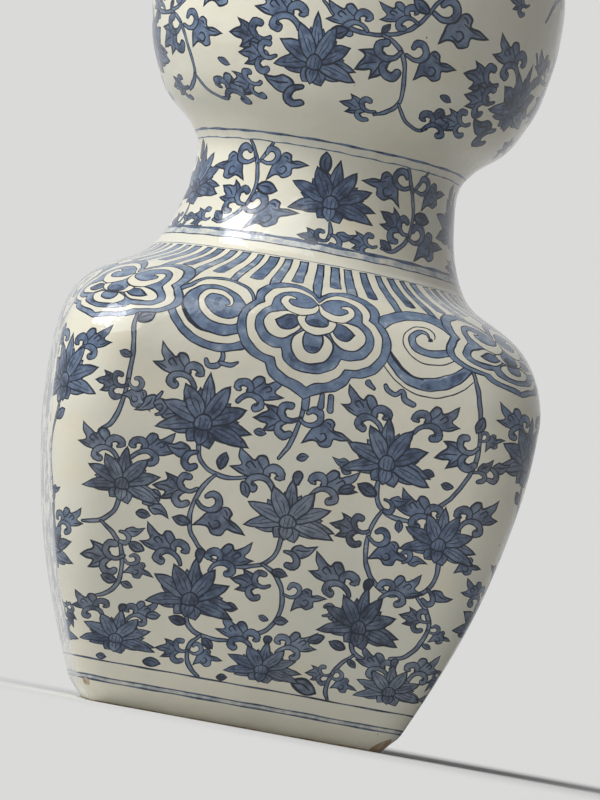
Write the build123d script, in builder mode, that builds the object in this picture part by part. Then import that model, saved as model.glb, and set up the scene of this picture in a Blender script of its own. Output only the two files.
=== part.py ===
from build123d import *
from math import cos, radians, sin, sqrt
import os

# Double gourd vase of glazed porcelain: a square lower bulb with rounded corners, a narrow
# waist, a round upper bulb and a short neck. Millimetres, +Z up, origin at the middle of
# the foot on the surface that the vase stands on. The front wall faces -Y.

# Rises, each from the level below it to its own
bevel_rise = 8.0
flank_rise = 148.0
shoulder_rise = 56.0
waist_rise = 44.0
flare_rise = 10.0
bulb_rise = 74.0
crown_rise = 85.0
neck_rise = 28.0

# Rise from the belly to the seam between the walls and the shoulder
seam_rise = 20.0

# Levels above the foot
bevel_height = bevel_rise
belly_height = bevel_height + flank_rise
shoulder_seam_height = belly_height + seam_rise
collar_height = belly_height + shoulder_rise
waist_height = collar_height + waist_rise
ridge_height = waist_height + flare_rise
bulb_height = ridge_height + bulb_rise
neck_seam_height = bulb_height + crown_rise
mouth_height = neck_seam_height + neck_rise

# Square lower bulb: half widths across the flats, and radii in plan
rim_half_width = 66.5
bevel_half_width = 73.8
belly_half_width = 109.8
collar_radius = 71.8
rim_corner_radius = 6.0
bevel_corner_radius = 12.0
belly_corner_radius = 34.0
side_bow_angle = 1.6
collar_bow_angle = 22.5

# Round upper part
waist_radius = 60.5
ridge_radius = 63.9
bulb_radius = 94.7
neck_radius = 35.0
lip_radius = 38.0

# Walls
wall = 6.5
lip_roll = 2.2
foot_rim_width = 7.0
foot_recess = 5.0
slab_thickness = 9.0
slab_corner_radius = 5.0

# Flank, from the foot's bevel up to the belly: how far up, and how far out
flank_shares = ((0.155, 0.268), (0.39, 0.61), (0.635, 0.848), (0.825, 0.967))

# Shoulder, from the belly up to the collar: how far up, and how far in
shoulder_shares = (
    (0.179, 0.007),
    (0.357, 0.048),
    (0.50, 0.125),
    (0.607, 0.236),
    (0.696, 0.387),
    (0.768, 0.554),
    (0.839, 0.745),
    (0.911, 0.891),
)
body_section_count = 22

# How late the shoulder's section turns from square to round on its way up
rounding_power = 1.5

# Waist, from the collar in to its narrowest point, and out again to the ridge
waist_shares = ((0.182, 0.377), (0.364, 0.63), (0.59, 0.83), (0.795, 0.94))
flare_shares = ((0.5, 0.23),)

# Lower half of the round bulb, from the ridge to its widest point
bulb_shares = (
    (0.054, 0.10),
    (0.108, 0.25),
    (0.176, 0.445),
    (0.257, 0.59),
    (0.351, 0.705),
    (0.486, 0.841),
    (0.662, 0.932),
    (0.838, 0.99),
)

# Crown of the round bulb, from its widest point in to the neck
crown_shares = (
    (0.28, 0.06),
    (0.51, 0.23),
    (0.70, 0.467),
    (0.825, 0.72),
    (0.895, 0.877),
    (0.948, 0.957),
)

# Neck, from its seam to the mouth
neck_shares = ((0.25, 0.0), (0.6, 0.25))

# Slopes of the outline at the seams, across for each step up
bevel_slope = 0.45
collar_slope = -0.62
ridge_slope = 0.75
neck_slope = -0.12
lip_slope = 0.25

# A spline's end tangents keep unit length, so that it runs evenly through uneven points
even_pace = (1, 1)


def between(low, high, share):
    """The size that lies a share of the way from low to high."""
    return low + (high - low) * share


def outline(low, high, low_size, high_size, shares):
    """Points (across, up) between two named levels, without the first."""
    points = [(between(low_size, high_size, across), between(low, high, up)) for up, across in shares]
    return points + [(high_size, high)]


def inside(points):
    """The same outline one wall further in, measured square to the surface."""
    inner = [(points[0][0] - wall, points[0][1])]
    for before, (across, up), after in zip(points, points[1:], points[2:]):
        run = Vector(after) - Vector(before)
        inner.append((across - wall * run.Y / run.length, up + wall * run.X / run.length))
    return inner + [(points[-1][0] - wall, points[-1][1])]


def smooth_profile(points, low_slope, high_slope, count):
    """Points at equal steps along the smooth curve through an outline's points."""
    with BuildLine():
        curve = Spline(points, tangents=((low_slope, 1), (high_slope, 1)), tangent_scalars=even_pace)
    marks = [curve @ (step / count) for step in range(count + 1)]
    return [(mark.X, mark.Y) for mark in marks]


def level_section(height, half_width, corner, bow):
    """A level section of the square bulb: four bowed sides joined by four round corners."""
    bow = radians(bow)
    side = corner + (half_width - corner) / (1 - cos(bow) + sin(bow))
    corner_centre = (side - corner) * sin(bow)
    diagonal = corner_centre + corner * sqrt(0.5)
    start = Vector(half_width - side + side * cos(bow), -side * sin(bow))
    middle = Vector(half_width, 0)
    end = Vector(start.X, -start.Y)
    corner_middle = Vector(diagonal, diagonal)
    corner_end = Vector(end.Y, end.X)
    with BuildSketch(Plane.XY.offset(height)) as section:
        with BuildLine():
            for quarter in range(4):
                marks = (start, middle, end, corner_middle, corner_end)
                points = [mark.rotate(Axis.Z, 90 * quarter) for mark in marks]
                ThreePointArc(points[0], points[1], points[2])
                ThreePointArc(points[2], points[3], points[4])
        make_face()
    return section.sketch


def wall_section(points, low_slope, high_slope):
    """Upright section of a turned wall whose outside is a smooth curve through the points."""
    tangents = ((low_slope, 1), (high_slope, 1))
    with BuildSketch(Plane.XZ) as section:
        with BuildLine():
            outer = Spline(points, tangents=tangents, tangent_scalars=even_pace)
            inner = Spline(inside(points), tangents=tangents, tangent_scalars=even_pace)
            Line(outer @ 0, inner @ 0)
            Line(outer @ 1, inner @ 1)
        make_face()
    return section.sketch


def body_sections(points, inset):
    """Level sections of the square bulb, turning from square at the belly to round above."""
    sections = []
    for half_width, height in smooth_profile(points, bevel_slope, collar_slope, body_section_count):
        rise = (height - bevel_height) / flank_rise
        roundness = max(0, (height - belly_height) / shoulder_rise) ** rounding_power
        corner = between(bevel_corner_radius, belly_corner_radius, min(rise, 1))
        corner = between(corner, collar_radius, roundness) - inset
        bow = between(side_bow_angle, collar_bow_angle, roundness)
        sections.append(level_section(height, half_width, min(corner, half_width), bow))
    return sections


body_points = [(bevel_half_width, bevel_height)]
body_points += outline(bevel_height, belly_height, bevel_half_width, belly_half_width, flank_shares)
body_points += outline(belly_height, collar_height, belly_half_width, collar_radius, shoulder_shares)

# Outer form of the square bulb, from the foot's bevelled rim up to the collar
with BuildPart() as body_form:
    rim = level_section(0, rim_half_width, rim_corner_radius, side_bow_angle)
    form_sections = body_sections(body_points, 0)
    loft([rim, form_sections[0]])
    loft(form_sections)

# Its hollow, one wall inside that form, above the floor
floor_height = foot_recess + slab_thickness
with BuildPart() as body_hollow:
    loft(body_sections(inside(body_points), wall))
    split(bisect_by=Plane.XY.offset(floor_height), keep=Keep.TOP)

# The pocket that the base slab is let into, open below as the recess of the foot
slab_half_width = rim_half_width - foot_rim_width
with BuildPart() as foot_pocket:
    with BuildSketch(Plane.XY):
        RectangleRounded(2 * slab_half_width, 2 * slab_half_width, slab_corner_radius)
    extrude(amount=floor_height)

# The whole square bulb as one shell, which the potter's seams then part
with BuildPart() as body_shell:
    add(body_form.part)
    add(body_hollow.part, mode=Mode.SUBTRACT)
    add(foot_pocket.part, mode=Mode.SUBTRACT)

os.makedirs("parts", exist_ok=True)

# Base slab, let in between the walls and set up from the surface by the recess
with BuildPart() as base_slab:
    with BuildSketch(Plane.XY.offset(foot_recess)):
        RectangleRounded(2 * slab_half_width, 2 * slab_half_width, slab_corner_radius)
    extrude(amount=slab_thickness)
base_slab.part.label = "base_slab"
export_step(base_slab.part, "parts/base_slab.step")

# Four side slabs, mitred where they meet at the corners
for side_number, side_name in enumerate(("wall_front", "wall_right", "wall_back", "wall_left")):
    turn = 90 * side_number
    left_mitre = Vector(1, -1, 0).rotate(Axis.Z, turn)
    right_mitre = Vector(-1, -1, 0).rotate(Axis.Z, turn)
    with BuildPart() as wall_slab:
        add(body_shell.part)
        split(bisect_by=Plane.XY.offset(shoulder_seam_height), keep=Keep.BOTTOM)
        split(bisect_by=Plane(origin=(0, 0, 0), z_dir=left_mitre), keep=Keep.TOP)
        split(bisect_by=Plane(origin=(0, 0, 0), z_dir=right_mitre), keep=Keep.TOP)
    wall_slab.part.label = side_name
    export_step(wall_slab.part, f"parts/{side_name}.step")

# Shoulder, moulded from square below to round above
with BuildPart() as shoulder:
    add(body_shell.part)
    split(bisect_by=Plane.XY.offset(shoulder_seam_height), keep=Keep.TOP)
shoulder.part.label = "shoulder"
export_step(shoulder.part, "parts/shoulder.step")


# Waist, thrown as a ring and luted onto the collar
waist_points = [(collar_radius, collar_height)]
waist_points += outline(collar_height, waist_height, collar_radius, waist_radius, waist_shares)
waist_points += outline(waist_height, ridge_height, waist_radius, ridge_radius, flare_shares)
with BuildPart() as waist:
    revolve(wall_section(waist_points, collar_slope, ridge_slope), axis=Axis.Z)
waist.part.label = "waist"
export_step(waist.part, "parts/waist.step")

# Lower half of the round bulb
bulb_points = [(ridge_radius, ridge_height)]
bulb_points += outline(ridge_height, bulb_height, ridge_radius, bulb_radius, bulb_shares)
with BuildPart() as bulb_lower:
    revolve(wall_section(bulb_points, ridge_slope, 0), axis=Axis.Z)
bulb_lower.part.label = "bulb_lower"
export_step(bulb_lower.part, "parts/bulb_lower.step")

# Upper half of the round bulb, drawn in to the neck
crown_points = [(bulb_radius, bulb_height)]
crown_points += outline(bulb_height, neck_seam_height, bulb_radius, neck_radius, crown_shares)
with BuildPart() as bulb_upper:
    revolve(wall_section(crown_points, 0, neck_slope), axis=Axis.Z)
bulb_upper.part.label = "bulb_upper"
export_step(bulb_upper.part, "parts/bulb_upper.step")

# Neck, a short tube with a rolled lip
neck_points = [(neck_radius, neck_seam_height)]
neck_points += outline(neck_seam_height, mouth_height, neck_radius, lip_radius, neck_shares)
with BuildPart() as neck:
    revolve(wall_section(neck_points, neck_slope, lip_slope), axis=Axis.Z)
    fillet(neck.edges().group_by(Axis.Z)[-1], lip_roll)
neck.part.label = "neck"
export_step(neck.part, "parts/neck.step")
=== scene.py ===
"""Double gourd vase of blue and white porcelain, painted section by section over its CAD model."""

from __future__ import annotations

import logging
import math
from dataclasses import dataclass, field, replace
from enum import Enum, IntEnum
from functools import cached_property
from typing import Iterable, Sequence

import bpy
import numpy as np
from mathutils import Matrix, Vector
from mathutils.geometry import delaunay_2d_cdt, tessellate_polygon


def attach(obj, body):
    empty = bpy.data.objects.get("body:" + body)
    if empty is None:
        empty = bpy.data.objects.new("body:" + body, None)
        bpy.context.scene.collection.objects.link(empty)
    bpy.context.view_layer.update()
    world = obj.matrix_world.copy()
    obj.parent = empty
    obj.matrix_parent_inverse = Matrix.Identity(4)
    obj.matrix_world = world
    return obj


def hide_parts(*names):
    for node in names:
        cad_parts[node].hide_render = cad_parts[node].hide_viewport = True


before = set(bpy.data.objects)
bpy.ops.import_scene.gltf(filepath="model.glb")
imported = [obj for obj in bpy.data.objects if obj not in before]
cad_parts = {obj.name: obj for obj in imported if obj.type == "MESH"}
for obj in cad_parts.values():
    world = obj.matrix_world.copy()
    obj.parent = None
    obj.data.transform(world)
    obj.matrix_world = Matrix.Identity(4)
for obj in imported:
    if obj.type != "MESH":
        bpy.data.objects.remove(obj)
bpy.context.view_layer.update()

LOG = logging.getLogger("vase")
MM = 0.001

Array = np.ndarray
Point = tuple[float, float]
Point3 = tuple[float, float, float]
Marks = Sequence[Sequence[float]]

# Shares all round are counted in quarter turns from the middle of the front, to the right
WHOLE_TURN = 4.0
SIDES = ("front", "right", "back", "left")

# Keeps a division from failing where a length is nothing
TINY = 1e-12


def side_centre(side: int) -> float:
    """Return the quarter turns at which the middle of a side lies, from -1 to 2."""
    return (side + 1.0) % WHOLE_TURN - 1.0


def unit_rows(rows: Array) -> Array:
    """Return vectors at a length of 1."""
    return rows / np.maximum(np.linalg.norm(rows, axis=1, keepdims=True), TINY)


# Sizes and outlines of the vase, in millimetres


@dataclass(frozen=True)
class Level:
    """A level section of the vase: how high, how wide, and how round."""

    height: float
    half_width: float
    corner: float
    bow: float


@dataclass(frozen=True)
class VaseSizes:
    """Sizes of the vase as its CAD model has them."""

    bevel_rise: float = 8.0
    flank_rise: float = 148.0
    shoulder_rise: float = 56.0
    waist_rise: float = 44.0
    flare_rise: float = 10.0
    bulb_rise: float = 74.0
    crown_rise: float = 85.0
    neck_rise: float = 28.0
    seam_rise: float = 20.0
    rim_half_width: float = 66.5
    bevel_half_width: float = 73.8
    belly_half_width: float = 109.8
    collar_radius: float = 71.8
    rim_corner: float = 6.0
    bevel_corner: float = 12.0
    belly_corner: float = 34.0
    side_bow: float = 1.6
    collar_bow: float = 22.5
    waist_radius: float = 60.5
    ridge_radius: float = 63.9
    bulb_radius: float = 94.7
    neck_radius: float = 35.0
    lip_radius: float = 38.0
    wall: float = 6.5
    lip_roll: float = 2.2
    foot_rim_width: float = 7.0
    foot_recess: float = 5.0
    slab_thickness: float = 9.0
    slab_corner: float = 5.0
    rounding_power: float = 1.5
    bevel_slope: float = 0.45
    collar_slope: float = -0.62
    ridge_slope: float = 0.75
    neck_slope: float = -0.12
    lip_slope: float = 0.25
    flank_shares: Marks = ((0.155, 0.268), (0.39, 0.61), (0.635, 0.848), (0.825, 0.967))
    shoulder_shares: Marks = (
        (0.179, 0.007), (0.357, 0.048), (0.5, 0.125), (0.607, 0.236), (0.696, 0.387), (0.768, 0.554),
        (0.839, 0.745), (0.911, 0.891),
    )
    waist_shares: Marks = ((0.182, 0.377), (0.364, 0.63), (0.59, 0.83), (0.795, 0.94))
    flare_shares: Marks = ((0.5, 0.23),)
    bulb_shares: Marks = (
        (0.054, 0.1), (0.108, 0.25), (0.176, 0.445), (0.257, 0.59), (0.351, 0.705), (0.486, 0.841),
        (0.662, 0.932), (0.838, 0.99),
    )
    crown_shares: Marks = (
        (0.28, 0.06), (0.51, 0.23), (0.7, 0.467), (0.825, 0.72), (0.895, 0.877), (0.948, 0.957),
    )
    neck_shares: Marks = ((0.25, 0.0), (0.6, 0.25))

    @property
    def belly_height(self) -> float:
        """Level of the widest part of the square bulb."""
        return self.bevel_rise + self.flank_rise

    @property
    def wall_top(self) -> float:
        """Level of the seam between the walls and the shoulder."""
        return self.belly_height + self.seam_rise

    @property
    def collar_height(self) -> float:
        """Level where the square bulb has become round."""
        return self.belly_height + self.shoulder_rise

    @property
    def waist_height(self) -> float:
        """Level of the narrowest part."""
        return self.collar_height + self.waist_rise

    @property
    def ridge_height(self) -> float:
        """Level of the ridge under the round bulb."""
        return self.waist_height + self.flare_rise

    @property
    def bulb_height(self) -> float:
        """Level of the widest part of the round bulb."""
        return self.ridge_height + self.bulb_rise

    @property
    def neck_foot(self) -> float:
        """Level where the neck begins."""
        return self.bulb_height + self.crown_rise

    @property
    def mouth_height(self) -> float:
        """Level of the mouth."""
        return self.neck_foot + self.neck_rise

    @property
    def floor_height(self) -> float:
        """Level of the floor inside."""
        return self.foot_recess + self.slab_thickness

    @property
    def pocket_half_width(self) -> float:
        """Half width of the recess inside the foot rim."""
        return self.rim_half_width - self.foot_rim_width


def between(low: float, high: float, share: float) -> float:
    """Return the size that lies a share of the way from low to high."""
    return low + (high - low) * share


def outline_points(low: Point, high: Point, shares: Marks) -> list[Point]:
    """Return an outline's points after the low one, given the inner ones as shares up and across."""
    inner = [(between(low[0], high[0], across), between(low[1], high[1], up)) for up, across in shares]
    return inner + [high]


def inside_points(points: Sequence[Point], wall: float) -> list[Point]:
    """Draw the same outline one wall further in, measured square to the surface.

    Args:
        points: Points across and up.
        wall: The wall's thickness.

    Returns:
        As many points, further in.
    """
    inner = [(points[0][0] - wall, points[0][1])]
    for before, (across, up), after in zip(points, points[1:], points[2:]):
        run = Vector(after) - Vector(before)
        inner.append((across - wall * run.y / run.length, up + wall * run.x / run.length))
    return inner + [(points[-1][0] - wall, points[-1][1])]


def lengths(points: Array) -> Array:
    """Return how far along a row of points each of them lies."""
    return np.concatenate([[0.0], np.cumsum(np.hypot(*np.diff(points, axis=0).T))])


# Straight steps that a curve is measured in, for each of its points
FINE_STEPS = 40


def smooth_curve(points: Sequence[Point], low_slope: float, high_slope: float, count: int) -> Array:
    """Sample a clamped cubic curve through points at even steps along its length.

    Args:
        points: Points (across, up) that the curve runs through.
        low_slope: Slope across for each step up at the first point.
        high_slope: The same at the last point.
        count: Number of steps.

    Returns:
        An array of count + 1 points.
    """
    knots = np.array(points, float)
    steps = np.hypot(*np.diff(knots, axis=0).T)
    place = lengths(knots)
    ends = [np.array((slope, 1.0)) / math.hypot(slope, 1.0) for slope in (low_slope, high_slope)]
    size = len(knots)
    matrix = np.zeros((size, size))
    right = np.zeros((size, 2))
    matrix[0, 0] = matrix[-1, -1] = 1.0
    right[0], right[-1] = ends
    for i in range(1, size - 1):
        before, after = steps[i - 1], steps[i]
        matrix[i, i - 1 : i + 2] = after, 2 * (before + after), before
        rise = after * (knots[i] - knots[i - 1]) / before + before * (knots[i + 1] - knots[i]) / after
        right[i] = 3 * rise
    slopes = np.linalg.solve(matrix, right)
    fine = np.linspace(0.0, place[-1], FINE_STEPS * size)
    cell = np.clip(np.searchsorted(place, fine, side="right") - 1, 0, size - 2)
    width = steps[cell][:, None]
    t = (fine - place[cell])[:, None] / width
    curve = knots[cell] * (1 + 2 * t) * (1 - t) ** 2 + knots[cell + 1] * t * t * (3 - 2 * t)
    curve += width * (slopes[cell] * t * (1 - t) ** 2 - slopes[cell + 1] * t * t * (1 - t))
    length = lengths(curve)
    even = np.linspace(0.0, length[-1], count + 1)
    return np.stack([np.interp(even, length, curve[:, axis]) for axis in (0, 1)], axis=1)


@dataclass(frozen=True)
class Surface:
    """A skin of the vase, unrolled into shares of a quarter turn and millimetres up its outline."""

    levels: tuple[Level, ...]

    @cached_property
    def table(self) -> Array:
        """The levels as rows of height, half width, corner and bow."""
        return np.array([(v.height, v.half_width, v.corner, v.bow) for v in self.levels])

    @cached_property
    def length(self) -> Array:
        """How far up the outline each level lies."""
        return lengths(self.table[:, :2])

    def at(self, up: Array) -> tuple[Array, Array, Array, Array]:
        """Return height, half width, corner and bow at distances up the outline."""
        return tuple(np.interp(up, self.length, column) for column in self.table.T)

    def up_at(self, height: float) -> float:
        """Return how far up the outline a height lies."""
        return float(np.interp(height, self.table[:, 0], self.length))

    def quarter(self, up: Array) -> Array:
        """Return the length of a quarter turn at distances up the outline, in millimetres."""
        _, *section = self.at(up)
        return self.arcs(*section)[2]

    @staticmethod
    def arcs(half_width: Array, corner: Array, bow: Array) -> tuple[Array, Array, Array]:
        """Return the radius of a side, the place of a corner's centre, and the length of a quarter turn."""
        side = corner + (half_width - corner) / (1 - np.cos(bow) + np.sin(bow))
        return side, (side - corner) * np.sin(bow), 2 * (side * bow + corner * (math.pi / 4 - bow))

    def place(self, share: Array, up: Array) -> Array:
        """Put flat points on the vase.

        Args:
            share: Quarter turns from the middle of the front.
            up: Millimetres up the outline.

        Returns:
            Points in millimetres, in the CAD frame.
        """
        height, half_width, corner, bow = self.at(up)
        side, centre, quarter = self.arcs(half_width, corner, bow)
        face = np.floor(share + 0.5)
        local = share - face
        run = np.abs(local) * quarter
        on_side = run < side * bow
        turn_side = run / side
        turn_corner = bow + (run - side * bow) / corner
        out_on_side = half_width - side + side * np.cos(turn_side)
        out = np.where(on_side, out_on_side, centre + corner * np.cos(turn_corner))
        across = np.where(on_side, side * np.sin(turn_side), centre + corner * np.sin(turn_corner))
        across = across * np.sign(local)
        angle = face * math.pi / 2
        x = across * np.cos(angle) + out * np.sin(angle)
        y = across * np.sin(angle) - out * np.cos(angle)
        return np.stack([x, y, height], axis=-1)

    def normal(self, share: Array, up: Array) -> Array:
        """Work out which way the skin faces, from a short step each way.

        Args:
            share: Quarter turns from the middle of the front.
            up: Millimetres up the outline.

        Returns:
            Outward unit normals.
        """
        top = self.length[-1]
        step_up, step_aside = 0.05, 0.0005
        low, high = np.clip(up - step_up, 0, top), np.clip(up + step_up, 0, top)
        rise = self.place(share, high) - self.place(share, low)
        turn = self.place(share + step_aside, up) - self.place(share - step_aside, up)
        return unit_rows(np.cross(turn, rise))


@dataclass(frozen=True)
class Run:
    """A section's outline: its points, its slopes at both ends, and how many steps draw it."""

    points: list[Point]
    low_slope: float
    high_slope: float
    steps: int


# A round section is drawn as a square one whose corners take up nearly all of it
NEARLY_ALL = 0.9999
# Every so many steps of an outline, the lining has a level
LINING_STRIDE = 8
NECK_STRIDE = 6
# Bow of the sides of the recess under the foot, in degrees
POCKET_BOW = 0.4


class VaseForm:
    """The vase's outer and inner skins, worked out from its sizes."""

    def __init__(self, sizes: VaseSizes) -> None:
        """Work out the outlines of all sections.

        Args:
            sizes: The vase's sizes.
        """
        self.sizes = s = sizes
        bevel = (s.bevel_half_width, s.bevel_rise)
        belly = (s.belly_half_width, s.belly_height)
        collar = (s.collar_radius, s.collar_height)
        waist = (s.waist_radius, s.waist_height)
        ridge = (s.ridge_radius, s.ridge_height)
        bulb = (s.bulb_radius, s.bulb_height)
        neck = (s.neck_radius, s.neck_foot)
        lip = (s.lip_radius, s.mouth_height)
        body = [bevel] + outline_points(bevel, belly, s.flank_shares)
        body += outline_points(belly, collar, s.shoulder_shares)
        stem = [collar] + outline_points(collar, waist, s.waist_shares)
        stem += outline_points(waist, ridge, s.flare_shares)
        lower = [ridge] + outline_points(ridge, bulb, s.bulb_shares)
        upper = [bulb] + outline_points(bulb, neck, s.crown_shares)
        tube = [neck] + outline_points(neck, lip, s.neck_shares)
        self.runs: dict[str, Run] = {
            "body": Run(body, s.bevel_slope, s.collar_slope, 400),
            "waist": Run(stem, s.collar_slope, s.ridge_slope, 160),
            "bulb_lower": Run(lower, s.ridge_slope, 0.0, 200),
            "bulb_upper": Run(upper, 0.0, s.neck_slope, 260),
            "neck": Run(tube, s.neck_slope, s.lip_slope, 120),
        }

    def curve(self, name: str, inner: bool = False) -> Array:
        """Draw a section's outline.

        Args:
            name: The section.
            inner: Whether it is the outline of its inside.

        Returns:
            Points across and up, from the section's foot up.
        """
        run = self.runs[name]
        points = inside_points(run.points, self.sizes.wall) if inner else run.points
        return smooth_curve(points, run.low_slope, run.high_slope, run.steps)

    def body_level(self, half_width: float, height: float, inset: float = 0.0) -> Level:
        """Work out a level section of the square bulb.

        Args:
            half_width: Half its width across the flats.
            height: Its height.
            inset: How far inside the outer skin it lies.

        Returns:
            The level section.
        """
        s = self.sizes
        rise = min((height - s.bevel_rise) / s.flank_rise, 1.0)
        roundness = max(0.0, (height - s.belly_height) / s.shoulder_rise) ** s.rounding_power
        corner = between(s.bevel_corner, s.belly_corner, rise)
        corner = between(corner, s.collar_radius, roundness) - inset
        bow = math.radians(between(s.side_bow, s.collar_bow, roundness))
        return Level(height, half_width, min(corner, half_width * NEARLY_ALL), bow)

    def round_level(self, radius: float, height: float) -> Level:
        """Return a round level section."""
        return Level(height, radius, radius * NEARLY_ALL, math.radians(self.sizes.collar_bow))

    def body_skin(self) -> Surface:
        """Lay out the painted skin of the square bulb.

        Returns:
            The skin, from the foot rim up to the collar.
        """
        s = self.sizes
        rim = Level(0.0, s.rim_half_width, s.rim_corner, math.radians(s.side_bow))
        levels = tuple(self.body_level(width, height) for width, height in self.curve("body"))
        return Surface((rim,) + levels)

    def body_lining(self, low: float, high: float) -> list[Level]:
        """Lay out a part of the square bulb's inside.

        Args:
            low: Height of its lower end.
            high: Height of its upper end.

        Returns:
            The inner levels, from the upper one down.
        """
        wall = self.sizes.wall
        levels = [self.body_level(width, height, wall) for width, height in self.curve("body", True)]
        lining = Surface(tuple(levels))
        heights = [v.height for v in levels[::LINING_STRIDE] if low < v.height < high]
        chosen = [high] + heights[::-1] + [low]
        return [self.level_of(lining, lining.up_at(height), height) for height in chosen]

    def round_skin(self, *names: str) -> Surface:
        """Return the painted skin of one or more turned sections, from their foot up."""
        points = np.concatenate([self.curve(name)[min(i, 1):] for i, name in enumerate(names)])
        return Surface(tuple(self.round_level(radius, height) for radius, height in points))

    def round_lining(self, name: str) -> list[Level]:
        """Return the inner levels of a turned section, from its top down."""
        inner = self.curve(name, True)[::-LINING_STRIDE]
        return [self.round_level(radius, height) for radius, height in inner]

    @staticmethod
    def level_of(skin: Surface, up: float, height: float | None = None) -> Level:
        """Return a skin's level at a distance up its outline."""
        found, half_width, corner, bow = (float(v) for v in skin.at(np.array(up)))
        return Level(found if height is None else height, half_width, corner, bow)


# Flat painting


@dataclass(frozen=True)
class Tone:
    """How a painted shape looks: strength of the cobalt, greyness, and bare clay."""

    cobalt: float
    faded: float = 0.0
    bare: float = 0.0

    @property
    def row(self) -> tuple[float, float, float]:
        """The tone as the mesh keeps it."""
        return (self.cobalt, self.faded, self.bare)


GROUND = Tone(0.0)
CLAY = Tone(0.0, 0.0, 1.0)


@dataclass
class Shape:
    """A closed painted shape in flat millimetres."""

    points: Array
    tone: Tone

    @property
    def reach(self) -> tuple[Array, Array]:
        """Its lowest and its highest values across and up."""
        return self.points.min(axis=0), self.points.max(axis=0)


# Quarter turns between which shapes are kept: from the back seams of the rings to that of the walls
PAINTED_FROM, PAINTED_TO = -2.05, 2.55
# Quarter turns that a ring is drawn over, and its step
RING_FROM, RING_TO, RING_STEP = -2.2, 2.7, 0.02
# Waves all round with which a ring wavers, least and most by how much in millimetres
WAVER_TURNS = (2, 5, 11, 29)
WAVER_REACH = (0.05, 0.12)
# Share by which a ring swells and thins, and in how many waves all round
SWELL_SHARE = 0.12
SWELL_TURNS = 23


@dataclass
class Painting:
    """Painted shapes of a skin, in the order of the brush.

    Its pace is how many flat millimetres stand for a quarter turn.
    """

    surface: Surface
    pace: float
    shapes: list[Shape] = field(default_factory=list)

    def add(self, points: Array, tone: Tone, centre: float = 0.0) -> None:
        """Add a shape wherever it shows on both sides of the back seams.

        Args:
            points: Millimetres across from the centre line and up the outline, counter-clockwise.
            tone: Its paint.
            centre: Quarter turns at which the centre line lies.
        """
        across, up = points.T
        place = centre + across / self.surface.quarter(up)
        for turn in (-WHOLE_TURN, 0.0, WHOLE_TURN):
            share = place + turn
            if share.max() > PAINTED_FROM and share.min() < PAINTED_TO:
                self.shapes.append(Shape(np.stack([share * self.pace, up], axis=1), tone))

    def ring(self, low: float, high: float, tone: Tone, seed: int) -> None:
        """Add a band all the way round, which wavers as a hand does.

        Args:
            low: Millimetres up the outline of its lower edge.
            high: The same of its upper edge.
            tone: Its paint.
            seed: Seed of its waver.
        """
        rng = np.random.default_rng(seed)
        share = np.arange(RING_FROM, RING_TO, RING_STEP)
        waver = sum(
            float(rng.uniform(*WAVER_REACH)) * np.sin(math.pi / 2 * turns * share + float(rng.uniform(0, 6)))
            for turns in WAVER_TURNS
        )
        swell = SWELL_SHARE * (high - low) * np.sin(math.pi / 2 * SWELL_TURNS * share)
        lower = np.stack([share, low + waver - swell], axis=1)
        upper = np.stack([share, high + waver + swell], axis=1)[::-1]
        self.shapes.append(Shape(np.concatenate([lower, upper]) * (self.pace, 1.0), tone))


def inside_shape(points: Array, outline: Array) -> Array:
    """Tell which points a closed outline runs round counter-clockwise.

    Args:
        points: The points.
        outline: The outline's corners.

    Returns:
        True for each point inside.
    """
    x, y = points[:, 0][:, None], points[:, 1][:, None]
    x0, y0 = outline[:, 0][None], outline[:, 1][None]
    x1, y1 = np.roll(x0, -1), np.roll(y0, -1)
    side = (x1 - x0) * (y - y0) - (x - x0) * (y1 - y0)
    up = (y0 <= y) & (y1 > y) & (side > 0)
    down = (y0 > y) & (y1 <= y) & (side < 0)
    return up.sum(axis=1) > down.sum(axis=1)


@dataclass
class Sheet:
    """A flat triangulated sheet: its points, its triangles and the paint of each triangle."""

    points: Array
    faces: Array
    paint: Array


@dataclass(frozen=True)
class Window:
    """The part of a painting that one section shows, in quarter turns and millimetres up."""

    left: float
    right: float
    low: float
    high: float

    @property
    def is_ring(self) -> bool:
        """Whether the section runs all the way round."""
        return self.right - self.left > WHOLE_TURN - 0.1


# Painted outlines that come this near to one another, in millimetres, are joined
SNAP = 1e-3


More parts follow.
